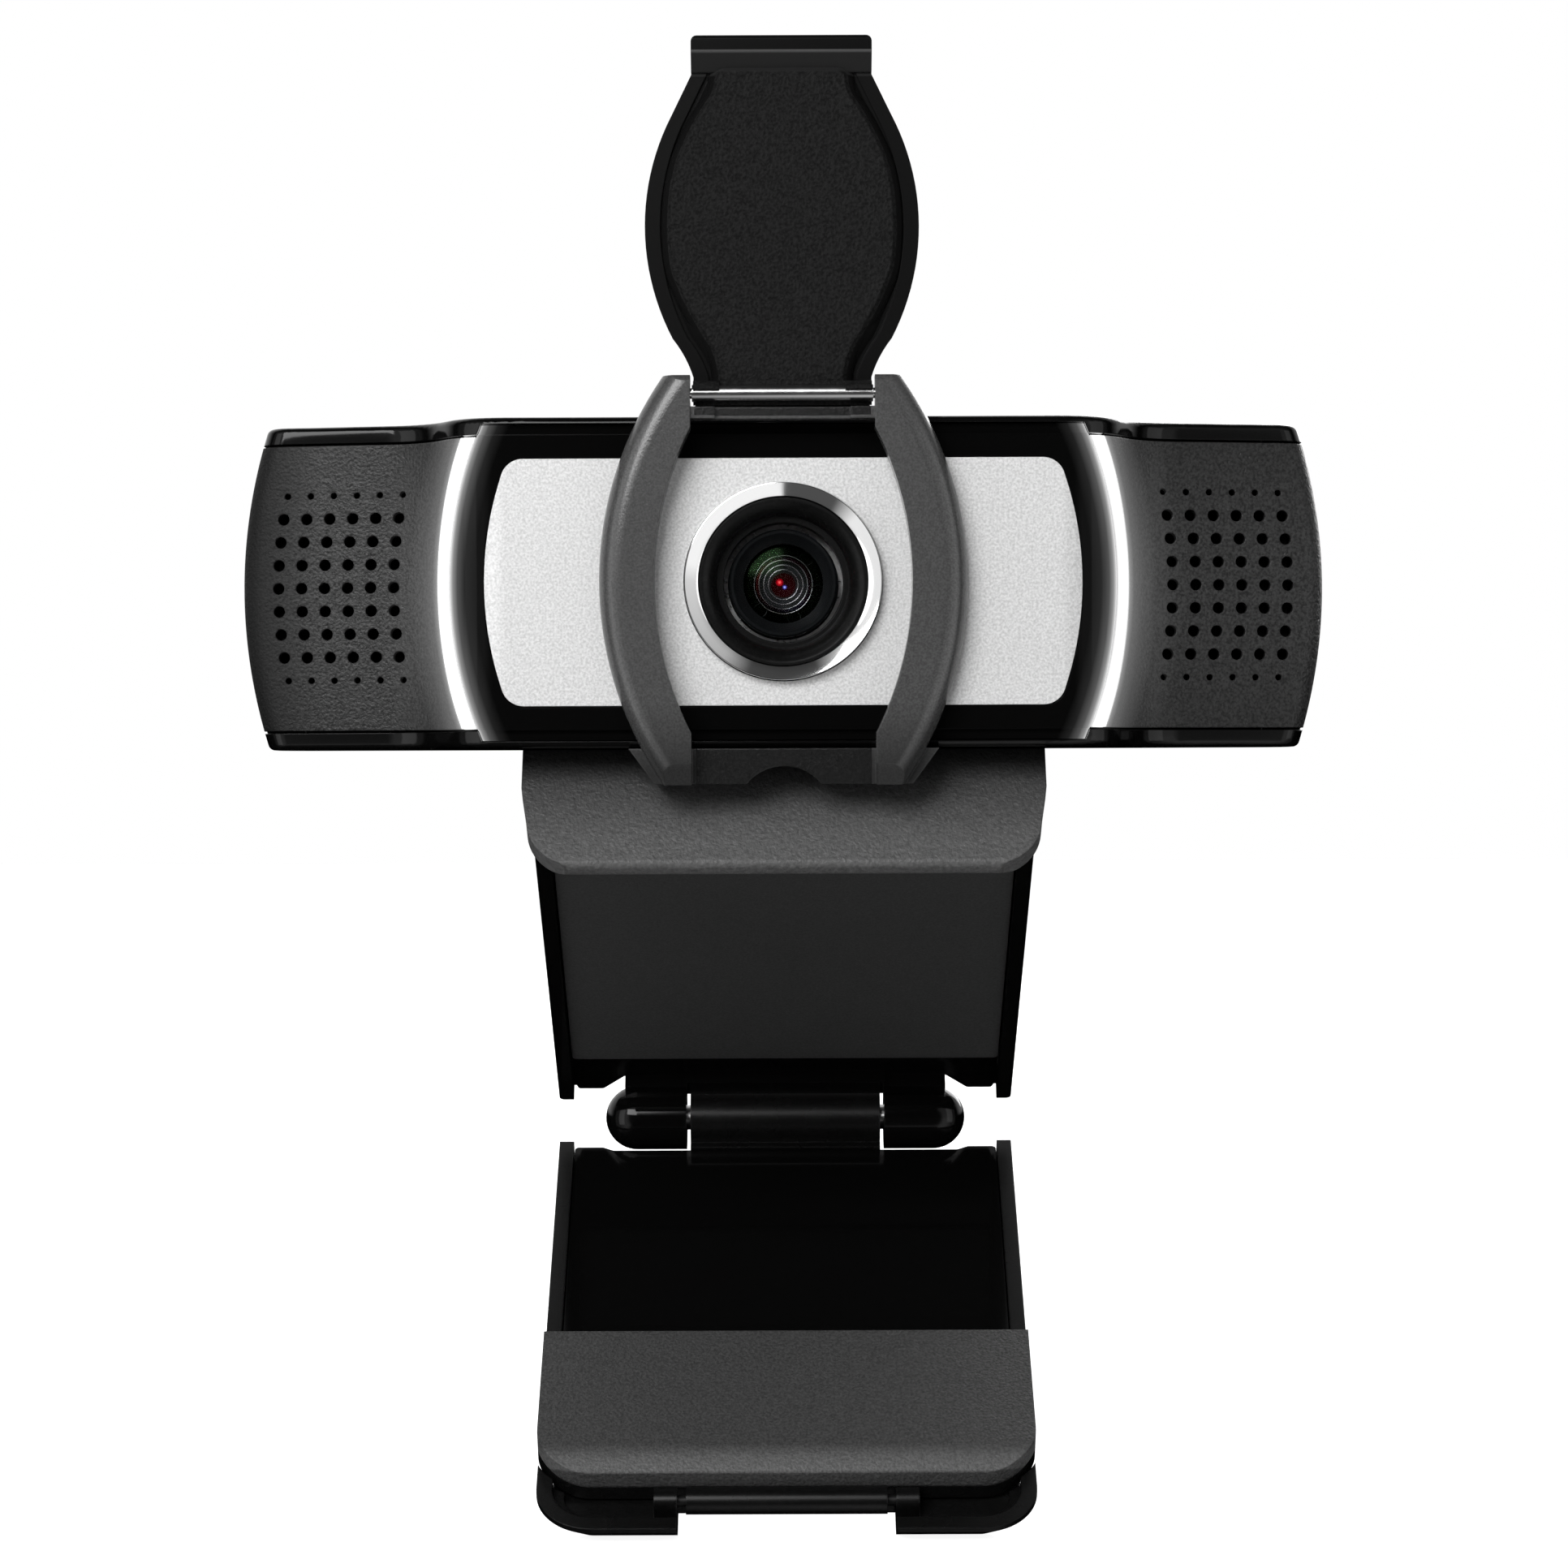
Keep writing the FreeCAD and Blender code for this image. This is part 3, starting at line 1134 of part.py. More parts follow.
def shutter_frame(frame):
    """Clip-on frame: two bowed arms, a tongue over the housing and a block under it."""
    body = new_body("shutter_frame", frame)
    top, end, middle = value("arm_half_height"), value("arm_end"), value("arm_middle")
    window, waist, turn = value("window_half"), value("window_middle"), value("window_corner")
    arm = path((window, -top), (end, -top), ((middle, 0), (end, top)), (window, top),
               (window, turn), ((waist, 0), (window, -turn)))
    pad(body, "front", outline(mirrored(arm)), "arm_back", "arm_front")
    front = -value("arm_front")
    soften(body, "arm_round", lambda edge: edge.Length > 30 and abs(edge.CenterOfMass.y - front)
           < 0.01 and abs(edge.CenterOfMass.x) > waist)
    toe, back = value("arm_toe"), value("arm_toe_back")
    lower = path((front - 1, toe - top), (front, toe - top), (front + back, -top),
                 (front + back, -top - 1), (front - 1, -top - 1))
    brow = value("arm_brow")
    upper = path((front - 1, top - brow), (front, top - brow), (front + brow, top),
                 (front + brow, top + 1), (front - 1, top + 1))
    pocket(body, "side", outline(lower + upper), "-(arm_end + 3)", "arm_end + 3")
    # crossbar behind the flap's tube, a lug at each of its ends, and the tongue on the housing
    pad(body, "front", rectangle("-(window_half + 0.5)", "bar_top - bar_tall",
                                 "window_half + 0.5", "bar_top"),
        "arm_back", "arm_front - bar_setback")
    for left, right in (("flap_leg + lug_gap", "window_half + 0.5"),
                        ("-(window_half + 0.5)", "-(flap_leg + lug_gap)")):
        pad(body, "front", rectangle(left, "bar_top - bar_tall", right, "bar_top"),
            "arm_front - 1.2", "arm_front - 0.3")
    pad(body, "front", rectangle("-(window_half - 0.4)", "body_half_height + seam",
                                 "window_half - 0.4", "body_half_height + tongue_top"),
        "-tongue_reach", "arm_back + 0.8")
    # block under the housing, scooped out for a finger
    under, wide, narrow = -value("body_half_height + seam"), value("block_top"), value("block_bottom")
    block = path((-wide, under), (-narrow, -value("block_drop")), (narrow, -value("block_drop")),
                 (wide, under))
    pad(body, "front", outline(block), "-2.6", "1.2")
    pocket(body, "front", circle("0", "-scoop_drop", "scoop_radius"), "-3", "2")
    pocket(body, "side", circle("-flap_axis_out", "flap_axis_up", "flap_pin_radius"),
           "-(arm_end - 0.6)", "arm_end - 0.6")
    return body


def flap_pin(frame):
    body = new_body("flap_pin", frame)
    pad(body, "side", circle("-flap_axis_out", "flap_axis_up", "flap_pin_radius"),
        "-(arm_end - 0.6)", "arm_end - 0.6")
    return body


def flap_tube(frame):
    """Bright tube that the flap is moulded on, turning on the pin."""
    body = new_body("flap_tube", frame)
    ring = both(circle("-flap_axis_out", "flap_axis_up", "flap_tube_radius"),
                circle("-flap_axis_out", "flap_axis_up", "flap_pin_radius + running_fit"))
    pad(body, "side", ring, "-flap_tube_half", "flap_tube_half")
    return body


def flap_outline(inset, first, last):
    """Outline of the flap between two distances from its hinge, set in at the sides."""
    up, widest, bow = value("flap_axis_up"), value("flap_widest"), value("flap_bow")
    neck, half = value("flap_neck") - inset, value("flap_half_width") - inset
    head = value("flap_head") - inset
    reach = 0.66 * widest
    shoulder = half - bow + math.sqrt(bow ** 2 - reach ** 2)
    low, high, rise = up + widest - reach, up + widest + reach, up + 1.5
    hollow = ((neck + shoulder) / 2 - 0.2, (rise + low) / 2)
    brow = min(high + 3.4, up + last - 0.1)
    return path((-neck, up + first), (neck, up + first), (neck, rise), (hollow, (shoulder, low)),
                ((half, up + widest), (shoulder, high)), (head, brow), (head, up + last),
                (-head, up + last), (-head, brow), (-shoulder, high),
                ((-half, up + widest), (-shoulder, low)), ((-hollow[0], hollow[1]), (-neck, rise)))


def wrap_waste(angle):
    """What is cut from the ring round the flap's tube: its front, up to an angle from the back."""
    out, up, reach = -value("flap_axis_out"), value("flap_axis_up"), 3
    turns = [math.radians(degrees) for degrees in (angle, (angle + 290) / 2, 290)]
    rays = [(out + reach * math.cos(turn), up + reach * math.sin(turn)) for turn in turns]
    return path((out, up), *rays)


def shutter_flap(frame):
    """Flap with a raised middle, a pull tab at its tip and two legs that wrap its tube."""
    body = new_body("shutter_flap", frame)
    face = "2 * flap_axis_out - arm_front - flap_clear"
    pad(body, "front", outline(flap_outline(0, 0.9, value("flap_length"))),
        f"{face} - flap_thick", face)
    inset, end, wide = value("plateau_inset"), value("plateau_end"), value("groove_width")
    groove = flap_outline(inset - wide, 1.1, end + wide)
    pocket(body, "front", outline(groove), f"{face} - groove_depth", f"{face} + 1")
    plateau = flap_outline(inset, 1.1, end)
    pad(body, "front", outline(plateau), f"{face} - groove_depth", f"{face} + plateau_rise",
        value("plateau_draft"))
    up, out, tip = value("flap_axis_up"), -value("flap_axis_out"), value("flap_length")
    flat, rise = -value(face), value("hook_rise")
    hook = rounded([(flat + 0.1, up + tip - value("hook_root"), 0),
                    (flat - 0.2 * rise, up + tip - value("hook_root"), 0.2),
                    (flat - rise, up + tip - value("tab_thick"), 0.4), (flat - rise, up + tip, 0.4),
                    (flat + 0.1, up + tip, 0)])
    pad(body, "side", outline(hook), "-flap_head", "flap_head")
    head, top, corner = value("flap_head"), up + tip, value("tip_round")
    shoulder = corner * (1 - math.sqrt(0.5))
    waste = path((-head - 1, top - corner), (-head, top - corner),
                 ((-head + shoulder, top - shoulder), (-head + corner, top)),
                 (-head + corner, top + 1), (-head - 1, top + 1))
    pocket(body, "front", outline(mirrored(waste)), f"{face} - flap_thick - 1",
           f"{face} + hook_rise + 1")
    back = -value(f"{face} - flap_thick")
    web = path((out, up), (out, up + value("web_thick")), (back, up + 1.4), (back, up + 0.7),
               (out + 0.7, up - 0.4))
    pad(body, "side", outline(web), "-flap_neck", "flap_neck")
    pad(body, "side", circle("-flap_axis_out", "flap_axis_up", "flap_knuckle"),
        "-flap_neck", "flap_neck")
    pocket(body, "side", circle("-flap_axis_out", "flap_axis_up", "flap_tube_radius"),
           "-flap_neck", "flap_neck")
    pocket(body, "side", outline(wrap_waste(95)), "-flap_leg", "flap_leg")
    pocket(body, "side", outline(wrap_waste(165)), "-(flap_neck + 1)", "flap_neck + 1")
    return body


# --- assembly -----------------------------------------------------------------------------

def build():
    lower, upper, camera = plate_frames()
    parts = [make(lower) for make in (
        lower_bracket, lower_cover, thread_insert, hinge_pin, foot_pin, foot_base, foot_pad)]
    parts += [make(upper) for make in (
        upper_tray, friction_sleeves, upper_cover, upper_pad, tilt_pin, tilt_washers)]
    parts += [make(camera) for make in (
        rear_shell, front_bezel, faceplate, cable_inlet, tilt_lug, lens_ring, lens_hood,
        lens_barrel, front_lens, lens_retainer, aperture_stop, rear_lens, focus_housing,
        focus_spring, ir_filter, image_sensor, main_board, board_screws, board_chips,
        shutter_frame, flap_pin, flap_tube, shutter_flap)]
    for name, side in (("left", -1), ("right", 1)):
        parts.append(light_guide(f"{name}_light_guide", side, camera))
        parts.append(wing(f"{name}_wing", side, camera))
        parts.append(microphone(f"{name}_microphone", side, camera))
        parts.append(light_board(f"{name}_light_board", side, camera))
    return parts


def check(parts):
    """Stops if a feature failed or a sub-part's shape isn't sound."""
    document.recompute()
    for item in document.Objects:
        if "Invalid" in item.State or "Error" in item.State:
            raise RuntimeError(f"{item.Label} failed: {item.State}")
    for part in parts:
        if part.Shape.isNull() or not part.Shape.isValid():
            raise RuntimeError(f"{part.Label} has no valid shape")


def export(parts):
    os.makedirs("parts", exist_ok=True)
    for part in parts:
        part.Shape.exportStep(f"parts/{part.Label}.step")
        print(f"{part.Label:22s} solids {len(part.Shape.Solids)} volume {part.Shape.Volume:10.2f}")


fill_sheet()
sub_parts = build()
check(sub_parts)
export(sub_parts)
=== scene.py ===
"""A webcam on its folding monitor clip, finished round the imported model, in metres."""
import bmesh
import bpy
import json
import math
from mathutils import Matrix, Vector

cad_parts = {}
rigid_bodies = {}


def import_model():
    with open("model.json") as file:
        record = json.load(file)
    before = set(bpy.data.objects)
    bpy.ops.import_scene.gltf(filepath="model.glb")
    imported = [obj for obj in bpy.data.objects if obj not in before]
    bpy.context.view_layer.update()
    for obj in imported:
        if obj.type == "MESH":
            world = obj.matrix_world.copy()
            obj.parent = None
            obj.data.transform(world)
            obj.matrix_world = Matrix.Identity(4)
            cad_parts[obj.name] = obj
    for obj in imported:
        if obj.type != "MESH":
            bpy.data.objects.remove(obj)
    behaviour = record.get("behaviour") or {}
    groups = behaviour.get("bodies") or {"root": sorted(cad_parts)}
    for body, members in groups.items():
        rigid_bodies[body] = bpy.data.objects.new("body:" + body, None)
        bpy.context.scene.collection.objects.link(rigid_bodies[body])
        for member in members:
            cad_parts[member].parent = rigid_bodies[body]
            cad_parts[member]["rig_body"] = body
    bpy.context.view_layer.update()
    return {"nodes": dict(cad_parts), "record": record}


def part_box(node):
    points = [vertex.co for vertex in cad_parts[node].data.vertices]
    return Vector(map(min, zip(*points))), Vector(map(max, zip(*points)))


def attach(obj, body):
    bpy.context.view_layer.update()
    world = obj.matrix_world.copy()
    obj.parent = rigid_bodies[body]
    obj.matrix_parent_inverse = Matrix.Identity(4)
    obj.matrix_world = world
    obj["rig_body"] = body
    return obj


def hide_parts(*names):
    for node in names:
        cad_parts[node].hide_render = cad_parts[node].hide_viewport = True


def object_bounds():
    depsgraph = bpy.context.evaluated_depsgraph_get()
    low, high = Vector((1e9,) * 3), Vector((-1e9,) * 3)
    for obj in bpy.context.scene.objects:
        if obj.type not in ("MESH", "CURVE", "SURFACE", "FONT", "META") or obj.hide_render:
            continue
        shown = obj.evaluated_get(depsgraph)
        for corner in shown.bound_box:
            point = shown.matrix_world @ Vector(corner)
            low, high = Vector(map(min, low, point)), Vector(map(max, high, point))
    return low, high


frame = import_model()


# --- the camera and the studio --------------------------------------------------------------
# The eye is a little below the lens and a third of a metre in front of it, behind a long lens
# that is rolled by a hair. The room behind is white, and the room in front is dark but for its
# lit walls.
ring_low, ring_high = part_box("lens_ring")
glass_centre = Vector((0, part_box("faceplate")[0].y, (ring_low.z + ring_high.z) / 2))
eye_distance, eye_drop, eye_roll = 0.340, 0.0171, -0.22
camera_data = bpy.data.cameras.new("camera")
camera_data.lens = 92.42
camera_data.sensor_width = 36
camera = bpy.data.objects.new("camera", camera_data)
bpy.context.scene.collection.objects.link(camera)
camera.matrix_world = (Matrix.Translation(glass_centre + Vector((0, -eye_distance, -eye_drop)))
                       @ Matrix.Rotation(math.radians(90), 4, "X")
                       @ Matrix.Rotation(math.radians(eye_roll), 4, "Z"))
bpy.context.scene.camera = camera
bpy.context.scene.view_settings.view_transform = "Standard"


class Wire:
    """One output in a node tree; arithmetic on it adds Math nodes."""

    def __init__(self, tree, socket):
        self.tree = tree
        self.socket = socket

    def maths(self, operation, *others, before=()):
        """A Math node whose inputs are any values before, this output and the others."""
        node = self.tree.nodes.new("ShaderNodeMath")
        node.operation = operation
        for index, value in enumerate((*before, self, *others)):
            if isinstance(value, Wire):
                self.tree.links.new(value.socket, node.inputs[index])
            else:
                node.inputs[index].default_value = value
        return Wire(self.tree, node.outputs[0])

    def __add__(self, other):
        return self.maths("ADD", other)

    def __radd__(self, other):
        return self.maths("ADD", before=(other,))

    def __sub__(self, other):
        return self.maths("SUBTRACT", other)

    def __rsub__(self, other):
        return self.maths("SUBTRACT", before=(other,))

    def __mul__(self, other):
        return self.maths("MULTIPLY", other)

    def __rmul__(self, other):
        return self.maths("MULTIPLY", before=(other,))

    def __truediv__(self, other):
        return self.maths("DIVIDE", other)

    def __pow__(self, other):
        return self.maths("POWER", other)


class Shading:
    """A node tree whose nodes are added one call at a time."""

    def __init__(self, tree):
        self.tree = tree

    def node(self, kind, settings=None, out=0, **inputs):
        """Adds a node: settings first, then its inputs by name, or as in0, in1 by number."""
        node = self.tree.nodes.new(kind)
        for key, value in (settings or {}).items():
            if key == "stops":
                stops = node.color_ramp.elements
                stops.remove(stops[1])
                for place, shade in value:
                    stop = stops.new(place) if place != value[0][0] else stops[0]
                    stop.position = place
                    stop.color = shade if isinstance(shade, tuple) else (shade, shade, shade, 1)
            else:
                setattr(node, key, value)
        for key, value in inputs.items():
            numbered = key[:2] == "in" and key[2:].isdigit()
            self.plug(node.inputs[int(key[2:]) if numbered else key.replace("_", " ")], value)
        return Wire(self.tree, node.outputs[out])

    def plug(self, socket, value):
        if isinstance(value, Wire):
            self.tree.links.new(value.socket, socket)
        else:
            socket.default_value = value

    def output(self, kind, name):
        """A node's output by its name, such as one kind of ray."""
        return Wire(self.tree, self.node(kind).socket.node.outputs[name])

    def split(self, vector):
        node = self.node("ShaderNodeSeparateXYZ", in0=vector).socket.node
        return [Wire(self.tree, output) for output in node.outputs]

    def ramp(self, factor, *stops):
        return self.node("ShaderNodeValToRGB", {"stops": stops}, Fac=factor)

    def blend(self, factor, first, second, how="MIX"):
        """A colour between two others, or one that joins them another way."""
        return self.node("ShaderNodeMix", {"data_type": "RGBA", "blend_type": how}, out=2,
                         in0=factor, in6=first, in7=second)


class Finish(Shading):
    """A material with a Principled shader, and the patterns its surface is made of."""

    def __init__(self, name, **values):
        self.material = bpy.data.materials.new(name)
        self.material.use_nodes = True
        super().__init__(self.material.node_tree)
        self.shader = self.tree.nodes["Principled BSDF"]
        self.set(**values)

    def set(self, **values):
        for key, value in values.items():
            self.plug(self.shader.inputs[key.replace("_", " ")], value)

    def place(self):
        return self.node("ShaderNodeTexCoord", out=3)

    def noise(self, size, detail=2.0, roughness=0.5):
        """Clouds whose lumps are about size metres across."""
        return self.node("ShaderNodeTexNoise", Vector=self.place(), Scale=1 / size,
                         Detail=detail, Roughness=roughness)

    def cells(self, size, feature):
        return self.node("ShaderNodeTexVoronoi", {"feature": feature}, Vector=self.place(),
                         Scale=1 / size)

    def relief(self, height, strength, depth, edge=0.0):
        """Bumps the surface; edge is the radius that sharp edges are rounded to."""
        inputs = {"Height": height, "Strength": strength, "Distance": depth}
        if edge:
            inputs["Normal"] = self.node("ShaderNodeBevel", {"samples": 4}, Radius=edge)
        self.set(Normal=self.node("ShaderNodeBump", **inputs))


def grey(level, warmth=0.0):
    return (level * (1 + warmth), level, level * (1 - warmth), 1)


def studio_world():
    """White to the eye and behind the object; in front, dark with light walls left and right."""
    world = bpy.data.worlds.new("studio")
    bpy.context.scene.world = world
    world.use_nodes = True
    tree = world.node_tree
    tree.nodes.remove(tree.nodes["Background"])
    make = Shading(tree)
    across, along, up = make.split(make.node("ShaderNodeTexCoord", out=0))
    turn = (across.maths("ARCTAN2", up) / (2 * math.pi) + 1).maths("FRACT")
    walls = make.ramp(turn, (0.0, 0.05), (0.055, 0.06), (0.10, 0.45), (0.24, 0.70), (0.27, 1.0),
                      (0.499, 1.0), (0.501, 0.08), (0.60, 0.08), (0.645, 0.9), (0.88, 0.8),
                      (0.945, 0.05), (1.0, 0.05))
    facing = make.ramp(0 - along, (0.0, 0.0), (0.10, 0.3), (0.3, 0.3), (0.6, 1.0), (0.78, 1.0),
                       (0.90, 0.08), (1.0, 0.04))
    behind = make.ramp(along, (0.15, 0.0), (0.45, 1.0)) * make.ramp(up, (0.01, 0.0), (0.10, 1.0))
    mirrored = make.blend(behind, make.blend(1.0, walls, facing, "MULTIPLY"), grey(1.0))
    bent = make.output("ShaderNodeLightPath", "Is Glossy Ray").maths(
        "MAXIMUM", make.output("ShaderNodeLightPath", "Is Transmission Ray"))
    soft = make.node("ShaderNodeBackground", Color=grey(1.0), Strength=0.16)
    mirror = make.node("ShaderNodeBackground", Color=mirrored, Strength=1.0)
    white = make.node("ShaderNodeBackground", Color=grey(1.0), Strength=1.0)
    lit = make.node("ShaderNodeMixShader", in0=bent, in1=soft, in2=mirror)
    whole = make.node("ShaderNodeMixShader", in1=lit, in2=white,
                      in0=make.output("ShaderNodeLightPath", "Is Camera Ray"))
    tree.links.new(whole.socket, tree.nodes["World Output"].inputs["Surface"])


def lamp(name, place, width, height, power):
    """A rectangular softbox that is turned to the middle of the clip."""
    data = bpy.data.lights.new(name, "AREA")
    data.shape = "RECTANGLE"
    data.size, data.size_y, data.energy = width, height, power
    light = bpy.data.objects.new(name, data)
    bpy.context.scene.collection.objects.link(light)
    clip_middle = Vector((0, 0, 0.05))
    towards = (clip_middle - Vector(place)).to_track_quat("-Z", "Y").to_matrix().to_4x4()
    light.matrix_world = Matrix.Translation(place) @ towards


def pale_floor():
    """The sheet the clip hangs over: white to the eye, with the object's soft shadow on it."""
    level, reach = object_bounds()[0].z, 3.0
    mesh = bpy.data.meshes.new("floor")
    mesh.from_pydata([(-reach, -reach, level), (reach, -reach, level), (reach, reach, level),
                      (-reach, reach, level)], [], [(0, 1, 2, 3)])
    floor = bpy.data.objects.new("floor", mesh)
    bpy.context.scene.collection.objects.link(floor)
    paper = Finish("floor_paper", Base_Color=grey(0.8), Roughness=0.9)
    plain = Wire(paper.tree, paper.shader.outputs[0])
    glow = paper.node("ShaderNodeEmission", Color=grey(1.0), Strength=0.9)
    both = paper.node("ShaderNodeAddShader", in0=plain, in1=glow)
    seen = paper.node("ShaderNodeMixShader", in1=plain, in2=both,
                      in0=paper.output("ShaderNodeLightPath", "Is Camera Ray"))
    paper.tree.links.new(seen.socket, paper.tree.nodes["Material Output"].inputs["Surface"])
    mesh.materials.append(paper.material)
    floor.visible_glossy = False
    floor.visible_transmission = False


studio_world()
pale_floor()
lamp("key_softbox", (-0.32, -0.78, 0.48), 0.60, 0.46, 7.6)
lamp("left_softbox", (-0.66, -0.36, 0.10), 0.30, 0.70, 0.8)
lamp("right_softbox", (0.66, -0.30, 0.12), 0.30, 0.60, 0.5)
lamp("back_softbox", (0.40, 0.80, 0.45), 0.60, 0.60, 5.0)


# --- lower plate and its moulding -----------------------------------------------------------
# A glass-filled nylon plate, black and satin, that lies against the back of a monitor. Its
# rails, middle knuckle and foot bed come from one mould, whose spark-eroded skin is very fine.
def finished(node, finish, crease=28):
    """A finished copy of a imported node: flats joined, curves smooth and edges kept."""
    source = frame["nodes"][node]
    same_place, no_length, same_plane = 2e-6, 1e-7, math.radians(0.05)
    made = bmesh.new()
    made.from_mesh(source.data)
    bmesh.ops.remove_doubles(made, verts=made.verts, dist=same_place)
    bmesh.ops.dissolve_degenerate(made, edges=made.edges, dist=no_length)
    bmesh.ops.dissolve_limit(made, angle_limit=same_plane, verts=made.verts, edges=made.edges,
                             use_dissolve_boundaries=False)
    rough = smoothed(made, crease)
    weights = rough.modifiers.new("weights", "WEIGHTED_NORMAL")
    weights.keep_sharp = True
    replace_node(settle(rough, f"{node}_skin", finish, source["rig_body"]), node)


def smoothed(made, crease):
    """An object from a mesh under way, smooth but for its creases and its open edges."""
    for face in made.faces:
        face.smooth = True
    for edge in made.edges:
        edge.smooth = edge.is_manifold and edge.calc_face_angle() < math.radians(crease)
    mesh = bpy.data.meshes.new("unfinished")
    made.to_mesh(mesh)
    made.free()
    rough = bpy.data.objects.new("unfinished", mesh)
    bpy.context.scene.collection.objects.link(rough)
    return rough


def settle(rough, name, finish, body):
    """Turns an object and its modifiers into one plain piece that rides on a body."""
    depsgraph = bpy.context.evaluated_depsgraph_get()
    mesh = bpy.data.meshes.new_from_object(rough.evaluated_get(depsgraph),
                                           preserve_all_data_layers=True, depsgraph=depsgraph)
    old = rough.data
    bpy.data.objects.remove(rough)
    bpy.data.meshes.remove(old)
    mesh.name = name
    mesh.materials.clear()
    mesh.materials.append(finish.material)
    piece = bpy.data.objects.new(name, mesh)
    bpy.context.scene.collection.objects.link(piece)
    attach(piece, body)
    return piece


def replace_node(piece, node):
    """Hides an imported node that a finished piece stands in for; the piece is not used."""
    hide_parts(node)


def paint(finish, *nodes):
    """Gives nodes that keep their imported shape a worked-out finish."""
    for node in nodes:
        frame["nodes"][node].data.materials.clear()
        frame["nodes"][node].data.materials.append(finish.material)


slots = {entry["node"]: entry["material_slot"] for entry in frame["record"]["subparts"]}

satin_black = Finish("satin_black_nylon", Specular_IOR_Level=0.25)
sparks = satin_black.noise(0.00035, 3.0)
satin_black.set(Base_Color=satin_black.ramp(sparks, (0.3, 0.0025), (0.7, 0.0045)),
                Roughness=satin_black.noise(0.004) * 0.10 + 0.22)
satin_black.relief(sparks, 0.08, 0.00002, edge=0.00018)
finished("lower_bracket", satin_black)


# --- glossy cover of the lower plate --------------------------------------------------------
# A thin polished acrylic-faced cover that snaps into the plate between its rails. It is piano
# black, so it shows little but faint wiping marks.
piano_black = Finish("piano_black", Base_Color=grey(0.0022), Specular_IOR_Level=0.22)
piano_black.set(Roughness=piano_black.noise(0.012, 4.0, 0.6) * 0.10 + 0.03)
piano_black.relief(piano_black.noise(0.006), 0.03, 0.00004, edge=0.00012)
finished("lower_cover", piano_black)


# --- tripod insert --------------------------------------------------------------------------
# A brass bush moulded into the plate, tapped a quarter inch with twenty threads to the inch.
# Its turns are one ring repeated at the pitch.
brass = Finish("turned_brass", Metallic=1.0)
tarnish = brass.noise(0.0015, 3.0)
brass.set(Base_Color=brass.ramp(tarnish, (0.3, (0.55, 0.38, 0.16, 1)),
                                (0.7, (0.74, 0.56, 0.27, 1))),
          Roughness=tarnish * 0.15 + 0.22)
paint(brass, "thread_insert")


def node_tree(name, **sizes):
    """A new Geometry Nodes tree with a named input for each size, and what adds its nodes."""
    tree = bpy.data.node_groups.new(name, "GeometryNodeTree")
    for key, value in sizes.items():
        kind = "NodeSocketInt" if isinstance(value, int) else "NodeSocketFloat"
        tree.interface.new_socket(key, in_out="INPUT", socket_type=kind)
    tree.interface.new_socket("Geometry", in_out="OUTPUT", socket_type="NodeSocketGeometry")
    make = Shading(tree)
    return make, {key: make.output("NodeGroupInput", key) for key in sizes}


def grown(make, shape, sizes, finish, name, body, place):
    """Runs a tree once at its sizes, and sets what it grows in its place as a plain piece."""
    whole = make.node("GeometryNodeRealizeInstances", in0=shape)
    painted = make.node("GeometryNodeSetMaterial", in0=whole, Material=finish.material)
    make.plug(make.tree.nodes.new("NodeGroupOutput").inputs[0], painted)
    seed = bpy.data.objects.new("seed", bpy.data.meshes.new("seed"))
    bpy.context.scene.collection.objects.link(seed)
    grow = seed.modifiers.new("grow", "NODES")
    grow.node_group = make.tree
    for socket in make.tree.interface.items_tree:
        if socket.name in sizes:
            grow[socket.identifier] = sizes[socket.name]
    piece = settle(seed, name, finish, body)
    piece.data.transform(place)
    piece.data.shade_smooth()


def hoops(name, finish, body, slot, place, **sizes):
    """Rings of round wire in a row: Radius, Wire, Pitch, Count, and Growth from ring to ring."""
    make, given = node_tree(name, **sizes)
    row = make.node("GeometryNodeMeshLine", {"mode": "OFFSET"}, Count=given["Count"],
                    Offset=make.node("ShaderNodeCombineXYZ", Z=given["Pitch"]))
    circle = make.node("GeometryNodeCurvePrimitiveCircle", Resolution=96, Radius=1.0)
    wide = given["Radius"] + make.node("GeometryNodeInputIndex") * given["Growth"]
    placed = make.node("GeometryNodeInstanceOnPoints", Points=row, Instance=circle,
                       Scale=make.node("ShaderNodeCombineXYZ", X=wide, Y=wide, Z=wide))
    lines = make.node("GeometryNodeRealizeInstances", in0=placed)
    section = make.node("GeometryNodeCurvePrimitiveCircle", Resolution=8, Radius=given["Wire"])
    shape = make.node("GeometryNodeCurveToMesh", Curve=lines, Profile_Curve=section)
    grown(make, shape, sizes, finish, name, body, place)


thread = next(mount for mount in frame["record"]["mounts"] if mount["name"] == "tripod_thread")
inward = -Vector(thread["axis"])
pitch = 0.0254 / 20
hoops("thread_turns", brass, "lower_clip", slots["thread_insert"],
      inward.to_track_quat("Z", "X").to_matrix().to_4x4() @ Matrix.Translation((0, 0, pitch / 2)),
      Radius=thread["dims"]["r_mm"] / 1000, Wire=0.00025, Pitch=pitch,
      Count=int(thread["dims"]["length_mm"] / 1000 / pitch), Growth=0.0)


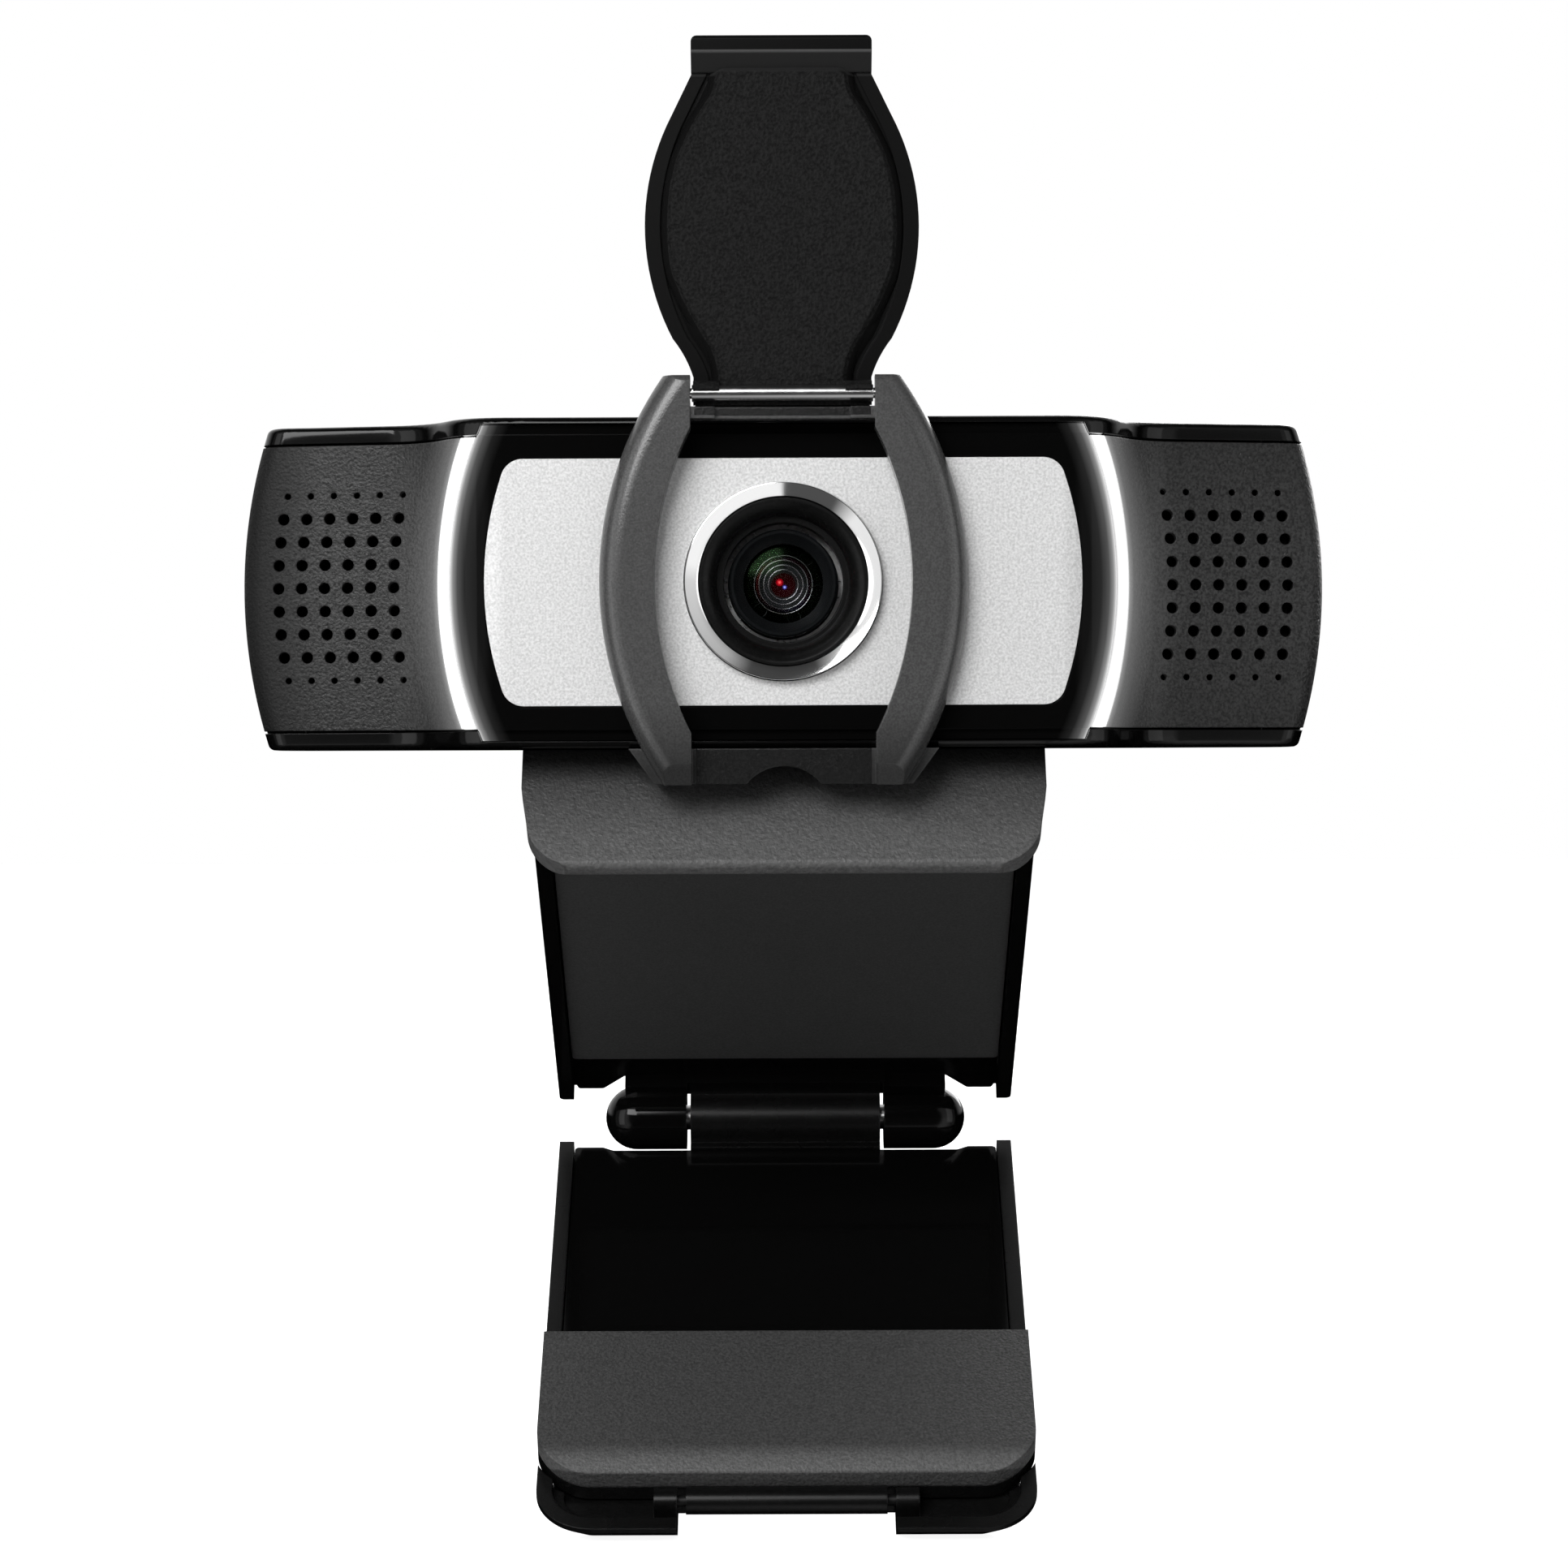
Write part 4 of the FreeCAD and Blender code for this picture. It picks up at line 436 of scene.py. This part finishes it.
# --- steel pins, sleeves, spring and screws -------------------------------------------------
# Ground steel stock. The hinge pin is pressed into the middle knuckle, and two rolled sleeves
# grip it by friction. Only the pins' ends are ever seen, and the foot's own pin is blackened.
steel = Finish("ground_steel", Metallic=1.0)
lay = steel.noise(0.0004, 4.0)
steel.set(Base_Color=steel.ramp(lay, (0.3, 0.45), (0.7, 0.62)), Roughness=lay * 0.2 + 0.2)
paint(steel, "hinge_pin", "friction_sleeves", "tilt_pin", "tilt_washers", "focus_spring",
      "board_screws")
blackened = Finish("blackened_steel", Metallic=0.6, Roughness=0.5)
blackened.set(Base_Color=blackened.ramp(blackened.noise(0.0004, 4.0), (0.3, 0.006), (0.7, 0.012)))
paint(blackened, "foot_pin")


# --- folding foot ---------------------------------------------------------------------------
# A nylon base with a grained rubber face moulded over it, which swings out on its own pin to
# prop the clip. The rubber has a fine leather grain and a painted highlight along its bend.
def grained(name, size, depth, strength, gloss, rough=None, tones=None, edge=0.0002):
    """A moulded grain: small rounded lumps with fine valleys between them."""
    made = Finish(name, Specular_IOR_Level=gloss)
    grain = made.noise(size, 2.5, 0.55) * 0.7 + made.cells(size * 1.3, "SMOOTH_F1") * 0.3
    if rough:
        made.set(Roughness=grain * -0.25 + rough)
    if tones:
        made.set(Base_Color=made.ramp(grain, (0.35, tones[0]), (0.62, tones[1])))
    made.relief(grain, strength, depth, edge)
    return made


finished("foot_base", satin_black)
foot_rubber = grained("foot_rubber_grain", 0.00024, 0.00012, 1.0, gloss=0.3, rough=0.62)
_, _, height = foot_rubber.split(foot_rubber.place())
painted_highlight_height = 0.006
painted_highlight_rise = (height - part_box("foot_pad")[0].z) / painted_highlight_height
lumps = foot_rubber.noise(0.00024, 3.0)
# Painted highlight: the rubber's grain is paler along its bend.
foot_rubber.set(Base_Color=foot_rubber.blend(
    foot_rubber.ramp(painted_highlight_rise, (0.23, 0.0), (0.26, 1.0), (0.44, 1.0), (0.60, 0.0)),
    foot_rubber.ramp(lumps, (0.35, 0.032), (0.65, 0.062)),
    foot_rubber.ramp(lumps, (0.35, 0.070), (0.65, 0.110))))
finished("foot_pad", foot_rubber)


# --- upper plate ----------------------------------------------------------------------------
# A polished tray with two domed knuckles, and over it a grained cover that runs down into the
# lip, with painted shade darkening it just under the body. A soft pad under it sits on the
# monitor's edge.
finished("upper_tray", piano_black)
lip_grain = grained("lip_leather_grain", 0.00026, 0.00011, 1.0, gloss=0.3, rough=0.55)
_, _, height = lip_grain.split(lip_grain.place())
painted_shadow_height = 0.008
painted_shadow_drop = (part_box("rear_shell")[0].z - height) / painted_shadow_height
# Painted shade: the lip darkens to near black just under the body.
lip_grain.set(Base_Color=lip_grain.blend(
    lip_grain.ramp(painted_shadow_drop, (0.0, 0.96), (0.45, 0.5), (1.0, 0.0)),
    lip_grain.ramp(lip_grain.noise(0.00036, 3.0), (0.3, 0.062), (0.7, 0.105)), grey(0.006)))
finished("upper_cover", lip_grain)
pad_rubber = grained("pad_smooth_rubber", 0.00018, 0.00002, 0.25, gloss=0.2, rough=0.65,
                     tones=(0.034, 0.042))
finished("upper_pad", pad_rubber)


# --- camera body ----------------------------------------------------------------------------
# Two polished mouldings that meet round the edge of the front: the deep rear shell, which a
# lug under it tilts on the clip, and the bezel, with a painted glow beside its light strips.
finished("rear_shell", piano_black, crease=35)
strip_inner, strip_bow, strip_width = 28.3, 33.0, 1.3


def from_strip(finish):
    """Millimetres outward from the inner edge of the light strip on that side."""
    across, _, up = finish.split(finish.place())
    out = across.maths("ABSOLUTE") * 1000 - (strip_inner - strip_bow)
    rise = (up - glass_centre.z) * 1000
    return (out ** 2 + rise * rise) ** 0.5 - strip_bow


# Painted glow: the bezel's face emits light just inside each strip.
painted_bezel_glow = 2.2
bezel_glass = Finish("bezel_glass", Base_Color=grey(0.0022), Specular_IOR_Level=0.08,
                     Emission_Strength=1.0)
bezel_glass.set(Roughness=bezel_glass.noise(0.012, 4.0) * 0.08 + 0.04,
                Emission_Color=bezel_glass.ramp(
                    (0 - from_strip(bezel_glass)) / painted_bezel_glow, (0.0, 0.60), (0.10, 0.26),
                    (0.28, 0.08), (0.60, 0.012), (1.0, 0.0)))
bezel_glass.relief(bezel_glass.noise(0.006), 0.03, 0.00004, edge=0.00010)
finished("front_bezel", bezel_glass, crease=18)
finished("tilt_lug", satin_black)
inlet_rubber = grained("inlet_rubber", 0.0003, 0.00003, 0.3, gloss=0.4, rough=0.7,
                       tones=(0.010, 0.014))
finished("cable_inlet", inlet_rubber)


# --- faceplate ------------------------------------------------------------------------------
# A stamped aluminium plate, fine bead-blasted and clear anodised, let into the bezel. It is
# left bare.
blasted = Finish("bead_blasted_aluminium", Metallic=0.35, Specular_IOR_Level=0.4)
beads = blasted.noise(0.00022, 2.0, 0.6)
blasted.set(Base_Color=blasted.ramp(beads, (0.33, 0.52), (0.66, 0.74)),
            Roughness=beads * 0.2 + 0.42)
blasted.relief(beads, 0.30, 0.00004, edge=0.0001)
finished("faceplate", blasted)


# --- lens ring and hood ---------------------------------------------------------------------
# A turned and polished ring slopes in to a black moulded hood, whose fine steps kill stray
# light. The ring is pressed in from the front; the hood's flange lies behind the bezel.
facing_in = Matrix.Translation(glass_centre) @ Matrix.Rotation(math.radians(-90), 4, "X")


def turned(node, finish, outline, steps=240, crease=20):
    """A node's shape turned afresh: (depth, radius) in millimetres spun round the lens axis."""
    made = bmesh.new()
    rings = []
    for step in range(steps):
        angle = 2 * math.pi * step / steps
        rings.append([made.verts.new(glass_centre + Vector(
            (radius * math.cos(angle), depth, radius * math.sin(angle))) / 1000)
            for depth, radius in outline])
    for step, ring in enumerate(rings):
        following = rings[(step + 1) % steps]
        for index in range(len(outline)):
            after = (index + 1) % len(outline)
            made.faces.new((ring[index], ring[after], following[after], following[index]))
    bmesh.ops.recalc_face_normals(made, faces=made.faces)
    replace_node(settle(smoothed(made, crease), f"{node}_skin", finish,
                        frame["nodes"][node]["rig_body"]), node)


chrome = Finish("bright_chrome", Base_Color=grey(0.9), Metallic=1.0)
chrome.set(Roughness=chrome.noise(0.003) * 0.04 + 0.06)
turned("lens_ring", chrome, [(0.6, 7.2), (-0.57, 7.2), (-0.60, 7.24), (-1.00, 8.22),
                             (-1.02, 8.27), (-1.01, 8.32), (-0.96, 8.35), (0.6, 8.35)])
hood_black = grained("hood_satin", 0.0003, 0.00002, 0.3, gloss=0.12, rough=0.42,
                     tones=(0.003, 0.006))
finished("lens_hood", hood_black, crease=20)
first_step = 0.0008
hoops("hood_steps", hood_black, "camera", slots["lens_hood"],
      facing_in @ Matrix.Translation((0, 0, first_step)),
      Radius=0.0060, Wire=0.00009, Pitch=-0.0003, Count=3, Growth=0.00032)


# --- the lens -------------------------------------------------------------------------------
# The barrel slides to focus. It carries a green-coated front glass, the ring that holds it, a
# stop and a smaller, red-coated rear glass with a painted red glint and a painted blue glint.
# The inner edges of its elements shine as fine rings.
barrel_black = Finish("barrel_gloss", Base_Color=grey(0.006, -0.1), Specular_IOR_Level=0.2)
barrel_black.set(Roughness=barrel_black.noise(0.002) * 0.15 + 0.12)
finished("lens_barrel", barrel_black, crease=20)
finished("lens_retainer", barrel_black, crease=20)
stop_black = Finish("stop_black", Base_Color=grey(0.004), Specular_IOR_Level=0.3)
stop_black.set(Roughness=stop_black.noise(0.001) * 0.2 + 0.4)
finished("aperture_stop", stop_black)
coated = Finish("green_coated_glass", Base_Color=(0.85, 0.88, 0.92, 1), Transmission_Weight=1.0,
                IOR=1.13, Specular_Tint=(0.45, 0.9, 0.40, 1))
coated.set(Roughness=coated.noise(0.004) * 0.02 + 0.12)
finished("front_lens", coated, crease=25)
rear_coated = Finish("red_coated_glass", Base_Color=(0.02, 0.004, 0.006, 1),
                     Specular_IOR_Level=0.4, Specular_Tint=(1.0, 0.25, 0.3, 1))
across, _, height = rear_coated.split(rear_coated.place())
height = height - glass_centre.z


def painted_glint(right, up, size):
    """Painted glint: one inside a soft spot of the rear glass, nought outside; lengths in mm."""
    aside, above = across * 1000 - right, height * 1000 - up
    return 1 - (aside * aside + above * above) ** 0.5 / size


# Painted glints: a red and a blue spot that the rear glass emits.
red = rear_coated.ramp(painted_glint(-0.30, 0.26, 0.34), (0.0, (0.006, 0.0, 0.0, 1)),
                       (0.55, (0.55, 0.0, 0.01, 1)), (0.85, (1.0, 0.15, 0.12, 1)))
blue = rear_coated.ramp(painted_glint(0.12, -0.14, 0.20), (0.0, (0.0, 0.0, 0.0, 1)),
                        (0.5, (0.05, 0.06, 0.5, 1)), (0.8, (0.6, 0.65, 0.9, 1)))
rear_coated.set(Roughness=rear_coated.noise(0.002) * 0.02 + 0.03, Emission_Strength=1.0,
                Emission_Color=rear_coated.blend(1.0, red, blue, "ADD"))
finished("rear_lens", rear_coated, crease=25)
retainer_front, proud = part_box("lens_retainer")[0].y - glass_centre.y, 0.00002
on_retainer = facing_in @ Matrix.Translation((0, 0, retainer_front - proud))


def spanner_marks():
    """Shallow ringed dimples in the retaining ring, where its spanner grips."""
    sizes = {"Circle": 0.00290, "Mark": 0.00055, "Wire": 0.00003, "Count": 6}
    make, given = node_tree("spanner_marks", **sizes)
    round_it = make.node("GeometryNodeCurvePrimitiveCircle", Resolution=given["Count"],
                         Radius=given["Circle"])
    places = make.node("GeometryNodeCurveToPoints", {"mode": "EVALUATED"}, Curve=round_it)
    mark = make.node("GeometryNodeCurveToMesh",
                     Curve=make.node("GeometryNodeCurvePrimitiveCircle", Resolution=32,
                                     Radius=given["Mark"]),
                     Profile_Curve=make.node("GeometryNodeCurvePrimitiveCircle", Resolution=6,
                                             Radius=given["Wire"]))
    shape = make.node("GeometryNodeInstanceOnPoints", Points=places, Instance=mark)
    grown(make, shape, sizes, barrel_black, "spanner_marks", "focus_lens",
          on_retainer @ Matrix.Rotation(math.radians(12), 4, "Z"))


spanner_marks()
edge_bright = Finish("bright_edge", Metallic=1.0, Roughness=0.22)
edge_bright.set(Base_Color=edge_bright.ramp(edge_bright.noise(0.002), (0.3, 0.35), (0.7, 0.55)))
hoops("lens_rings", edge_bright, "focus_lens", slots["lens_retainer"], on_retainer,
      Radius=0.00125, Wire=0.000035, Pitch=0.00001, Count=4, Growth=0.00040)


# --- light guides ---------------------------------------------------------------------------
# Curved strips of milky acrylic at the bezel's sides, lit from behind by a row of diodes. They
# glow less along the edge that meets the bezel.
lit_acrylic = Finish("lit_acrylic", Base_Color=grey(0.5), Emission_Strength=1.0)
lit_acrylic.set(Roughness=lit_acrylic.noise(0.006) * 0.1 + 0.25,
                Emission_Color=lit_acrylic.ramp(
                    from_strip(lit_acrylic) / strip_width, (0.0, 0.22), (0.10, 0.35),
                    (0.26, 0.92), (0.85, 0.96), (1.0, 0.55)))
for side in ("left", "right"):
    finished(f"{side}_light_guide", lit_acrylic)


# --- wings ----------------------------------------------------------------------------------
# Leather-grained covers bowed over each end of the body, with a grid of sound holes in front
# of the microphones. A painted glow of the strips' light lies on them, and painted shade
# darkens their tops and bottoms and the left one's tip.
wing_grain = grained("wing_leather_grain", 0.00024, 0.00012, 1.0, gloss=0.25)
across, _, height = wing_grain.split(wing_grain.place())
half_height, reach, painted_wing_glow = 0.014, 0.050, 5.0
rise = (height - glass_centre.z) / half_height
painted_tip_shade = wing_grain.ramp(0 - across / reach, (0.80, 0.0), (0.92, 0.9))
lumps = wing_grain.noise(0.00024, 2.5, 0.55)
# Painted shade at the tops, the bottoms and the left tip; painted glow by the strips.
wing_grain.set(Base_Color=wing_grain.blend(
                   painted_tip_shade + rise * rise * 0.45,
                   wing_grain.ramp(lumps, (0.35, 0.010), (0.62, 0.036)), grey(0.003)),
               Roughness=painted_tip_shade * 0.35 + wing_grain.noise(0.0005) * 0.10 + 0.30,
               Emission_Strength=1.0,
               Emission_Color=wing_grain.ramp(
                   (from_strip(wing_grain) - strip_width) / painted_wing_glow, (0.0, 0.30), (0.10, 0.13),
                   (0.28, 0.07), (0.55, 0.02), (1.0, 0.0)))
for side in ("left", "right"):
    finished(f"{side}_wing", wing_grain, crease=32)


# --- shutter frame --------------------------------------------------------------------------
# Two bowed arms with a crossbar, moulded in satin grey, clip round the body. Painted shade
# darkens the crossbar, what lies between the arms' ends, and the arms' feet.
satin_grey = grained("shutter_satin", 0.00018, 0.00003, 0.5, gloss=0.5, rough=0.34)
across, _, height = satin_grey.split(satin_grey.place())
arm_inside, arm_height, feet_start, feet_fade = 0.0074, 0.0138, 0.010, 0.006
above = height - glass_centre.z
between = across.maths("ABSOLUTE").maths("LESS_THAN", arm_inside)
painted_crossbar_shade = between * above.maths("ABSOLUTE").maths("GREATER_THAN", arm_height)
painted_feet_shade = satin_grey.ramp((0 - feet_start - above) / feet_fade, (0.0, 0.0), (1.0, 0.75))
lumps = satin_grey.noise(0.00018, 3.0)
# Painted shade on the crossbar, between the arms' ends and on the arms' feet.
satin_grey.set(Base_Color=satin_grey.blend(
    painted_crossbar_shade.maths("MAXIMUM", painted_feet_shade),
    satin_grey.ramp(lumps, (0.35, 0.044), (0.65, 0.072)), grey(0.008)))
finished("shutter_frame", satin_grey)


# --- flap and its hinge ---------------------------------------------------------------------
# The flap turns on a bright tube between the arms' tops, and its top edge hooks forward for a
# finger. Its raised middle is grained, its margins and the hook are smooth, and a painted
# highlight line runs along the hook, with a paler painted band below it.
tube_steel = Finish("polished_tube", Metallic=1.0, Base_Color=grey(0.6))
tube_steel.set(Roughness=tube_steel.noise(0.001, 4.0) * 0.15 + 0.14)
finished("flap_tube", tube_steel)
paint(tube_steel, "flap_pin")
flap_low, flap_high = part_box("shutter_flap")
middle_depth, hook_height, hook_fade = 0.0018, 0.0030, 0.0040
flap_black = Finish("flap_black", Specular_IOR_Level=0.05)
lumps = flap_black.noise(0.00026, 2.5, 0.55)
_, depth, height = flap_black.split(flap_black.place())
middle = (depth.maths("LESS_THAN", flap_low.y + middle_depth)
          * height.maths("LESS_THAN", flap_high.z - hook_height))
# Painted highlight: a pale line along the hook's edge and a paler band below it.
smooth = flap_black.ramp((flap_high.z - height) / hook_fade, (0.0, 0.004), (0.31, 0.004),
                         (0.33, 0.075), (0.37, 0.050), (0.39, 0.018), (0.80, 0.018),
                         (0.83, 0.0055))
flap_black.set(Base_Color=flap_black.blend(
                   middle, smooth, flap_black.ramp(lumps, (0.35, 0.0055), (0.62, 0.0130))),
               Roughness=middle * 0.25 + 0.25)
flap_black.relief(lumps * middle, 1.0, 0.00016, edge=0.00012)
finished("shutter_flap", flap_black)


def curve_through(points, steps=4):
    """Points along a smooth curve that passes through each of the points given."""
    ends = [points[0], *points, points[-1]]
    for a, b, c, d in zip(ends, ends[1:], ends[2:], ends[3:]):
        for step in range(steps):
            share = step / steps
            yield 0.5 * (2 * b + (c - a) * share + (2 * a - 5 * b + 4 * c - d) * share ** 2
                         + (3 * b - a - 3 * c + d) * share ** 3)


def flap_face():
    """The flap's raised middle in millimetres: a necked face, a stepped edge, a sunk back."""
    top, top_half, corner = 26.4, 5.3, 0.7
    waist = [(5.08, 0.85), (5.10, 2.00), (5.58, 3.67), (6.64, 5.49), (7.66, 7.30), (8.48, 9.12),
             (9.08, 10.93), (9.32, 13.84), (9.20, 16.38), (8.92, 18.20), (8.42, 20.00),
             (7.60, 21.82), (6.60, 23.64), (5.70, 25.00), (5.36, 25.90), (top_half, top)]
    edge = [(0.0, 0.43), (0.05, 0.45), (0.32, 0.76), (0.40, 0.82), (0.85, 1.42), (0.95, 1.70)]
    side = list(curve_through([Vector(point) for point in waist]))
    for degrees in range(0, 91, 15):
        turn = math.radians(degrees)
        side.append(Vector((top_half - corner * (1 - math.cos(turn)),
                            top + corner * math.sin(turn))))
    outline = side + [Vector((-wide, high)) for wide, high in reversed(side)]
    tube_low, tube_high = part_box("flap_tube")
    axis = (tube_low + tube_high) / 2
    made = bmesh.new()
    loops = []
    for out, depth in edge:
        loops.append([])
        for index, (wide, high) in enumerate(outline):
            along = (outline[(index + 1) % len(outline)] - outline[index - 1]).normalized()
            loops[-1].append(made.verts.new(axis + Vector(
                (wide + along.y * out, depth, high - along.x * out)) / 1000))
    made.faces.new(loops[0])
    made.faces.new(loops[-1])
    for inner, outer in zip(loops, loops[1:]):
        for index in range(len(outline)):
            after = (index + 1) % len(outline)
            made.faces.new((inner[index], inner[after], outer[after], outer[index]))
    bmesh.ops.recalc_face_normals(made, faces=made.faces)
    settle(smoothed(made, 20), "flap_face", flap_black, "flap")


flap_face()


# --- inside the body ------------------------------------------------------------------------
# The main board on its posts, its chips, the sensor under its filter, and the small boards of
# the microphones and lights. Little of it shows, and only through the sound holes.
board_green = Finish("solder_mask", Specular_IOR_Level=0.1)
tracks = board_green.cells(0.0011, "DISTANCE_TO_EDGE")
board_green.set(Base_Color=board_green.ramp(tracks, (0.03, (0.001, 0.003, 0.002, 1)),
                                            (0.10, (0.001, 0.001, 0.001, 1))),
                Roughness=tracks * 0.2 + 0.3)
paint(board_green, "main_board", "left_microphone", "right_microphone", "left_light_board",
      "right_light_board")
chip_black = grained("chip_epoxy", 0.0002, 0.00001, 0.2, gloss=0.4, rough=0.6,
                     tones=(0.010, 0.018))
paint(chip_black, "board_chips", "focus_housing")
die = Finish("sensor_die", Base_Color=(0.02, 0.03, 0.05, 1), Metallic=0.4)
die.set(Roughness=die.noise(0.0005) * 0.1 + 0.08)
paint(die, "image_sensor")
filter_glass = Finish("cut_filter_glass", Base_Color=(0.30, 0.10, 0.12, 1))
filter_glass.set(Roughness=filter_glass.noise(0.001) * 0.05 + 0.03)
paint(filter_glass, "ir_filter")
